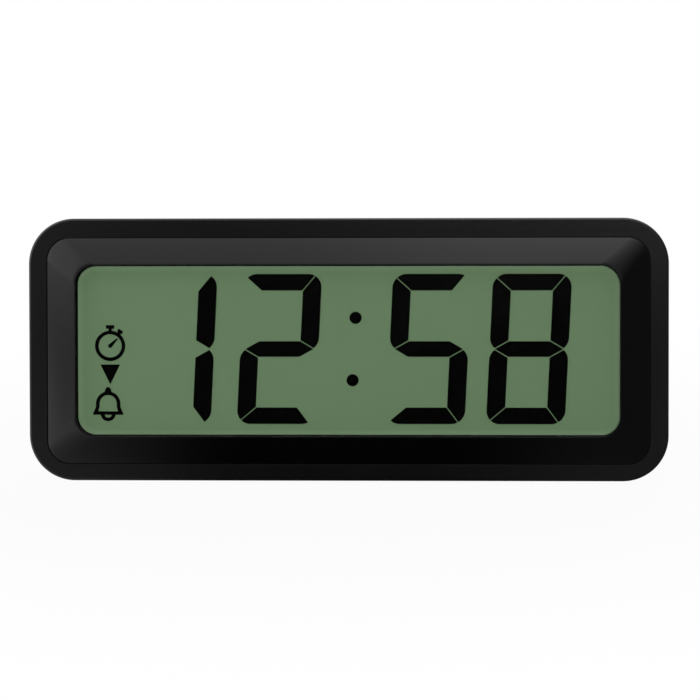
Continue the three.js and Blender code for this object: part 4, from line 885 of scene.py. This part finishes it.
# %% Window
SHEET, SHEET_FRONT, SHEET_BACK = (114.2, 37.5, 4), -1.85, -0.65
window = slab("clear_window", *SHEET, SHEET_FRONT, SHEET_BACK, (0, WINDOW_MIDDLE), 14)
soften(window, 0.12, 3)
smooth(window)
settle(lean(window), "window", "display_window")

# %% [markdown]
# Each numeral is made of flat strokes with hairline gaps between them. All seven strokes
# are cut once, as with scissors: a sheet is bisected along every side, and what lies
# outside is thrown away. The slant comes last, from the mesh's own transform, since shear
# as an operator needs a window. The strokes stand for solids that also hold thin
# conductors.

# %% The seven strokes
HALF_WIDTH, HALF_HEIGHT, ROUND, GAP, NOTCH = 8.12, 15.5, 2.8, 0.2, 1.0
SIDE_STROKE, LEVEL_STROKE, MIDDLE_STROKE = 3.8, 3.4, 3.2
LEFT_MITRE, RIGHT_MITRE, SLANT = 45, 60, math.radians(2.8)
STROKE_FRONT, STROKE_DEPTH, PAPER, ONE_POINT = 1.7, 0.15, 80, 1e-4


def arc(x, z, radius, start, end, steps=6):
    """Points on an arc, angles in degrees, both ends included."""
    turns = [math.radians(start + (end - start) * i / steps) for i in range(steps + 1)]
    return [(x + radius * math.cos(turn), z + radius * math.sin(turn)) for turn in turns]


def scissored(name, corners, y=STROKE_FRONT):
    """A flat sheet cut along the sides of a shape that bulges outwards everywhere."""
    sides = list(zip(corners, corners[1:] + corners[:1]))
    turning = sum(a[0] * b[1] - b[0] * a[1] for a, b in sides)
    hand = 1 if turning > 0 else -1
    sheet = flat_plate(name, PAPER, PAPER, 0, y, corners[0])
    edit(sheet)
    for (ax, az), (bx, bz) in sides:
        if math.hypot(bx - ax, bz - az) < ONE_POINT:
            continue
        bpy.ops.mesh.select_all(action="SELECT")
        bpy.ops.mesh.bisect(
            plane_co=(ax * MM, y * MM, az * MM),
            plane_no=Vector((hand * (bz - az), 0, -hand * (bx - ax))).normalized(),
            clear_outer=True,
            threshold=1e-7,
        )
    leave()
    return sheet


def upright(mitre_angle):
    """Corners of an upper left upright; its lower end is rounded towards the middle bar."""
    mitre, turn = GAP * math.sqrt(0.5), math.degrees(GAP / 2 / ROUND)
    bend = math.degrees(math.acos((ROUND - NOTCH) / ROUND))
    waist = GAP + ROUND * math.sin(math.radians(bend))
    return [
        (-HALF_WIDTH + SIDE_STROKE, MIDDLE_STROKE / 2 + GAP),
        (-HALF_WIDTH + SIDE_STROKE, HALF_HEIGHT - LEVEL_STROKE - mitre),
        *arc(-HALF_WIDTH + ROUND, HALF_HEIGHT - ROUND, ROUND, 180 - mitre_angle + turn, 180),
        *arc(-HALF_WIDTH + ROUND, waist, ROUND, 180, 180 + bend),
    ]


def outlines():
    """Corners of every stroke about the middle of a numeral, before the slant."""
    w, h, r = HALF_WIDTH, HALF_HEIGHT, ROUND
    mitre, turn = GAP * math.sqrt(0.5), math.degrees(GAP / 2 / ROUND)
    top = [
        (-w + SIDE_STROKE + mitre, h - LEVEL_STROKE),
        *arc(-w + r, h - r, r, 180 - LEFT_MITRE - turn, 90),
        *arc(w - r, h - r, r, 90, RIGHT_MITRE + turn),
        (w - SIDE_STROKE - mitre, h - LEVEL_STROKE),
    ]
    tip, bend, half = w - NOTCH - GAP / 2, w - SIDE_STROKE - GAP / 2, MIDDLE_STROKE / 2
    middle = [(-tip, 0), (-bend, half), (bend, half), (tip, 0), (bend, -half), (-bend, -half)]
    left, right = upright(LEFT_MITRE), upright(RIGHT_MITRE)
    return {
        "top": top,
        "bottom": [(x, -z) for x, z in top],
        "upper_left": left,
        "lower_left": [(x, -z) for x, z in left],
        "upper_right": [(-x, z) for x, z in right],
        "lower_right": [(-x, -z) for x, z in right],
        "middle": middle,
    }


strokes = {name: scissored(f"stroke_{name}", shape) for name, shape in outlines().items()}
print("strokes", {name: len(stroke.data.vertices) for name, stroke in strokes.items()})

# %% [markdown]
# A numeral is copies of its strokes, joined, thickened, slanted and moved to its place on
# the display. The two dots of the colon are short round bars along the same slant.

# %% Numerals and colon
NUMERALS = {
    "hours_tens": (-35.85, ["upper_right", "lower_right"]),
    "hours_units": (-14.2, ["top", "upper_right", "middle", "lower_left", "bottom"]),
    "minutes_tens": (16.72, ["top", "upper_left", "middle", "lower_right", "bottom"]),
    "minutes_units": (37.35, list(strokes)),
}
NUMERAL_MIDDLE = WINDOW_MIDDLE + 0.27
COLON_X, COLON_Z, COLON_RADIUS = 1.27, 6.45, 1.26
slant = Matrix.Identity(4)
slant[0][2] = math.tan(SLANT)
for name, (x, drawn_strokes) in NUMERALS.items():
    parts = [duplicate(strokes[stroke], "part") for stroke in drawn_strokes]
    figure = thicken(join(f"numeral_{name}", parts), STROKE_DEPTH)
    figure.data.transform(Matrix.Translation((x * MM, 0, NUMERAL_MIDDLE * MM)) @ slant)
    settle(lean(figure), "segment", f"digit_{name}")
for stroke in strokes.values():
    bpy.data.objects.remove(stroke)

for name, z in (("upper", COLON_Z), ("lower", -COLON_Z)):
    middle = (COLON_X + z * math.tan(SLANT), STROKE_FRONT + STROKE_DEPTH / 2, z + NUMERAL_MIDDLE)
    dot = rod(f"dot_{name}", middle, COLON_RADIUS, STROKE_DEPTH, "y", 56)
    smooth(soften(dot, 0.03, 2))
    settle(lean(dot), "segment", f"colon_dot_{name}")

# %% [markdown]
# Three small symbols stand at the left: a stopwatch, a pointer and a bell, cut with the
# same scissors. The ring is a disc less a smaller one, and the bell is an outer shape less
# an inner one, so that its line keeps one width.

# %% Stopwatch, pointer and bell
WATCH, RING, LINE, HUB, HAND = (-49.34, WINDOW_MIDDLE + 0.92), 3.15, 0.75, 0.42, 2.1
STEM_HALF, POINTER, POINTER_TOP, PAST = 0.33, 4.1, WINDOW_MIDDLE - 2.95, 0.2
BELL_X, BRIM, SKIRT_TOP, DOME, KNOB = -49.81, WINDOW_MIDDLE - 13.37, 1.6, 2.3, 5.1


def thick(name, corners):
    """A shape as thick as a stroke."""
    return thicken(scissored(name, corners), STROKE_DEPTH)


def disc(name, x, z, radius, past=0.0):
    depth = STROKE_DEPTH + 2 * past
    return rod(name, (x, STROKE_FRONT + STROKE_DEPTH / 2, z), radius, depth, "y", 64)


def deep(name, corners):
    """A cutter: the same shape, reaching past both faces of a stroke."""
    return thicken(scissored(name, corners, STROKE_FRONT - PAST), STROKE_DEPTH + 2 * PAST)


def tapered(x, z, angle, near, far, near_half, far_half):
    """Corners of a bar that points away from a centre at an angle."""
    c, s = math.cos(math.radians(angle)), math.sin(math.radians(angle))
    spots = [(near, -near_half), (far, -far_half), (far, far_half), (near, near_half)]
    return [(x + a * c - b * s, z + a * s + b * c) for a, b in spots]


watch = disc("stopwatch", *WATCH, RING)
carve(watch, [disc("hole", *WATCH, RING - LINE, PAST)])
buttons = []
for angle, gap, height, foot, head in ((90, 0.4, 0.75, 0.82, 0.9), (55, 0.13, 0.7, 0.57, 0.57)):
    stem_end = RING + gap + height / 2
    stem = tapered(*WATCH, angle, RING - LINE / 2, stem_end, STEM_HALF, STEM_HALF)
    cap = tapered(*WATCH, angle, RING + gap, RING + gap + height, foot, head)
    buttons += [thick("stem", stem), thick("cap", cap)]
hub = arc(*WATCH, HUB, 135, 315, 10)
hand = thick("hand", hub + arc(*WATCH, HAND, 41, 49, 1))
carve(watch, buttons, "UNION")
watch = join("stopwatch", [watch, hand])
settle(lean(watch), "segment", "timer_symbol")

half = POINTER / 2
pointer = thick("pointer", [(WATCH[0] - half, POINTER_TOP), (WATCH[0], POINTER_TOP - POINTER),
                            (WATCH[0] + half, POINTER_TOP)])
settle(lean(pointer), "segment", "arrow_symbol")


def bell_shape(cut, half, foot_half, foot):
    """Skirt and dome of a bell, as two shapes that each bulge outwards."""
    low, high = BRIM + foot, BRIM + foot + 0.3
    skirt = [(BELL_X - foot_half, low), (BELL_X + foot_half, low), (BELL_X + foot_half, high),
             (BELL_X + half, BRIM + SKIRT_TOP), (BELL_X - half, BRIM + SKIRT_TOP),
             (BELL_X - foot_half, high)]
    body = [(BELL_X - half, BRIM + 1.55), (BELL_X + half, BRIM + 1.55),
            *arc(BELL_X, BRIM + DOME, half, 0, 180, 20)]
    return [cut("skirt", skirt), cut("body", body)]


skirt, body = bell_shape(thick, 2.55, 3.15, 0.0)
bell = carve(skirt, [body], "UNION")
carve(bell, bell_shape(deep, 1.79, 2.0, 0.72))
knob_foot = BRIM + DOME + 2.5 - 0.31
knob = thick("knob", [(BELL_X - 0.95, knob_foot), (BELL_X + 0.95, knob_foot),
                      *arc(BELL_X, BRIM + KNOB, 0.65, 0, 180, 10)])
clapper = thick("clapper", arc(BELL_X, BRIM + 0.2, 1.55, 180, 360, 16))
carve(clapper, [deep("hole", arc(BELL_X, BRIM + 0.2, 0.8, 175, 365, 16))])
carve(bell, [knob, clapper], "UNION")
bell.name = bell.data.name = "bell"
settle(lean(bell), "segment", "bell_symbol")

# %% [markdown]
# The rear shell carries everything. Its inner shapes must fit the boards and the cells
# exactly, so it isn't drawn again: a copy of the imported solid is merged, its flat faces
# are dissolved into whole ones, and every sharp edge gets a small round. The screws are
# done likewise. The cells and their springs are only smoothed.

# %% Copies with moulded edges
def from_solid(node, name, slot, edge, angle):
    """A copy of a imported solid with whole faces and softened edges."""
    piece = bpy.data.objects.new(name, frame["nodes"][node].data.copy())
    piece.data.name = name
    bpy.context.scene.collection.objects.link(piece)
    edit(piece)
    bpy.ops.mesh.remove_doubles(threshold=1e-6)
    bpy.ops.mesh.dissolve_limited(angle_limit=math.radians(0.4))
    leave()
    if edge:
        soften(piece, edge, 2, angle)
    settle(smooth(piece, angle), slot, node)


from_solid("rear_shell", "rear_case", "case", 0.12, 34)
for corner in range(1, 5):
    from_solid(f"case_screw_{corner}", f"rear_screw_{corner}", "screw_steel", 0.04, 50)
for place in ("upper", "lower"):
    from_solid(f"battery_{place}", f"cell_{place}", "cell", 0, 40)
for kind in ("positive", "negative", "bridge"):
    from_solid(f"contact_{kind}", f"spring_{kind}", "contact_steel", 0, 45)

# %% [markdown]
# The battery door lies flush in the back. It turns on two short pins, so its lower edge is
# round like a rod, and a tongue stands between two slits. Plate, rod and pins are added
# together, and slits, ribs and a shallow arrow that points to the tongue are cut.

# %% Battery door
DOOR, DOOR_MIDDLE = (55.1, 25.9, 1.2), -8.098
REAR, DOOR_DEPTH, PIN_RADIUS, PIN_LENGTH = 28.8, 2.4, 0.55, 1.65
HINGE = (REAR - DOOR_DEPTH / 2, DOOR_MIDDLE - DOOR[1] / 2 + DOOR_DEPTH / 2)
DOOR_TOP = DOOR_MIDDLE + DOOR[1] / 2
TONGUE_HALF, SLIT_OUTSIDE, SLIT_LENGTH = 4.5, 5.1, 7
RIB_STEP, RIB_HALF, RIB_DEPTH, ARROW_DEPTH = 1.1, 0.25, 0.5, 0.4
ARROW, TIP = DOOR_TOP - 13, DOOR_TOP - 9.2


def about(middle, half):
    """The two ends of a length about its middle."""
    return (middle - half, middle + half)


def block(name, x, y, z):
    """A plain box between pairs of sizes, as a cutter or an added form."""
    ready()
    spans = (x, y, z)
    bpy.ops.mesh.primitive_cube_add(size=1, location=[(a + b) / 2 * MM for a, b in spans])
    piece = named(name)
    piece.scale = [(b - a) * MM for a, b in spans]
    bake()
    return piece


door = slab("door", *DOOR, REAR - DOOR_DEPTH, REAR, (0, DOOR_MIDDLE), 8)
carve(door, [block("below", about(0, 30), (20, 32), (-30, HINGE[1]))])
knuckle = rod("knuckle", (0, *HINGE), DOOR_DEPTH / 2, DOOR[0], "x", 64)
pins = rod("pins", (0, *HINGE), PIN_RADIUS, DOOR[0] + 2 * PIN_LENGTH, "x", 32)
tip = block("tip", about(0, TONGUE_HALF), (REAR - DOOR_DEPTH, REAR),
            (DOOR_TOP - 0.2, DOOR_TOP + 1))
carve(door, [knuckle, pins, tip], "UNION")
slits = [
    block("slit", sorted((side * TONGUE_HALF, side * SLIT_OUTSIDE)), (24, 30),
          (DOOR_TOP - SLIT_LENGTH, DOOR_TOP + 2))
    for side in (-1, 1)
]
ribs = [
    block("rib", about(0, 4), (REAR - RIB_DEPTH, REAR + 1),
          about(DOOR_TOP - RIB_STEP * step, RIB_HALF))
    for step in range(1, 5)
]
arrow_lines = [
    [(-0.3, ARROW), (0.3, ARROW), (0.3, TIP - 0.6), (-0.3, TIP - 0.6)],
    [(-2.2, TIP - 2.4), (0, TIP - 0.8), (0, TIP), (-2.2, TIP - 1.6)],
    [(0, TIP - 0.8), (2.2, TIP - 2.4), (2.2, TIP - 1.6), (0, TIP)],
]
arrow = [thicken(scissored("arrow", line, REAR - ARROW_DEPTH), 2) for line in arrow_lines]
carve(door, slits + ribs + arrow)
soften(door, 0.15, 2, 50)
settle(lean(door), "case", "battery_door", "door")

# %% [markdown]
# The four keys are turned silicone with a dished cap, and a flange inside the case that
# keeps them in. A round bar's rim is bevelled, and its cap is inset again and again, each
# time a little deeper, which leaves a shallow bowl. All four are copies of it. The slider
# is a ribbed thumb piece on the plate that covers its slot.

# %% Keys and slider
KEY_Z, KEY_RADIUS, KEY_CAP, KEY_EDGE, CAP_RING = 11.652, 3.4, REAR + 1.2, 0.35, 0.55
FLANGE, FLANGE_RADIUS, BOWL, BOWL_DEPTH = (25.7, 26.5), 4.3, 2.5, 0.35
SLIDER = 31

pattern = rod("key", (0, (FLANGE[0] + KEY_CAP) / 2, KEY_Z), KEY_RADIUS, KEY_CAP - FLANGE[0])
edit(pattern)
pick(pattern, lambda edge: all(v.co.y > (KEY_CAP - 0.01) * MM for v in edge.verts), "edges")
bpy.ops.mesh.bevel(offset=KEY_EDGE * MM, segments=4)
pick(pattern, lambda face: face.normal.y > 0.99 and middle_of(face).y > KEY_CAP - 0.05)
bpy.ops.mesh.inset(thickness=CAP_RING * MM)
radius, sunk = BOWL, 0.0
for ring in (2.2, 1.8, 1.3, 0.8, 0.3):
    bpy.ops.mesh.inset(thickness=(radius - ring) * MM)
    depth = BOWL_DEPTH * (1 - (ring / BOWL) ** 2)
    bpy.ops.transform.translate(value=(0, (sunk - depth) * MM, 0))
    radius, sunk = ring, depth
leave()
flange = rod("flange", (0, sum(FLANGE) / 2, KEY_Z), FLANGE_RADIUS, FLANGE[1] - FLANGE[0])
smooth(carve(pattern, [flange], "UNION"), 40)
for name, x in (("mode", -34), ("up", -19), ("down", -4), ("start", 11)):
    key = duplicate(pattern, f"{name}_button")
    key.location.x = x * MM
    settle(lean(key), "key", f"key_{name}", f"{name}_key")
bpy.data.objects.remove(pattern)

slider = block("slider_thumb", about(SLIDER, 2), (FLANGE[0], REAR + 1.1), about(KEY_Z, 1.7))
plate = block("plate", about(SLIDER, 6.25), FLANGE, about(KEY_Z, 2.95))
pin = block("pin", about(SLIDER, 0.6), (24.0, 25.8), about(KEY_Z, 0.6))
carve(slider, [plate, pin], "UNION")
carve(slider, [block("rib", about(SLIDER + i * RIB_STEP, RIB_HALF), (29.4, 31), about(KEY_Z, 3))
               for i in (-1, 0, 1)])
soften(slider, 0.15, 3, 50)
smooth(slider, 40)
settle(lean(slider), "key", "alarm_slider", "slider")

# %% [markdown]
# Four rubber pads stand level, not leaning, so they are made straight in the room: a short
# round bar with a rounded rim, whose foot is inset and drawn in a little. One is made, and
# copied to the four places.

# %% Feet
PAD_RADIUS, PAD_HEIGHT, PAD_EDGE, SOLE_RING, SOLE_STEP, SOLE_RISE = 2.3, 1.7, 0.25, 0.5, 0.15, 0.1
pad = rod("pad", (0, 0, PAD_HEIGHT / 2), PAD_RADIUS, PAD_HEIGHT, "z", 48)
edit(pad)
pick(pad, lambda edge: all(v.co.z < 0.01 * MM for v in edge.verts), "edges")
bpy.ops.mesh.bevel(offset=PAD_EDGE * MM, segments=4)
pick(pad, lambda face: face.normal.z < -0.99)
bpy.ops.mesh.inset(thickness=SOLE_RING * MM)
bpy.ops.mesh.inset(thickness=SOLE_STEP * MM)
bpy.ops.transform.translate(value=(0, 0, SOLE_RISE * MM))
leave()
smooth(pad, 40)
for node in ("front_left", "front_right", "back_left", "back_right"):
    low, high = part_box(f"pad_{node}")
    foot = duplicate(pad, f"foot_{node}")
    foot.location = ((low.x + high.x) / 2, (low.y + high.y) / 2, low.z)
    only(foot)
    bake()
    settle(foot, "pad", f"pad_{node}")
bpy.data.objects.remove(pad)
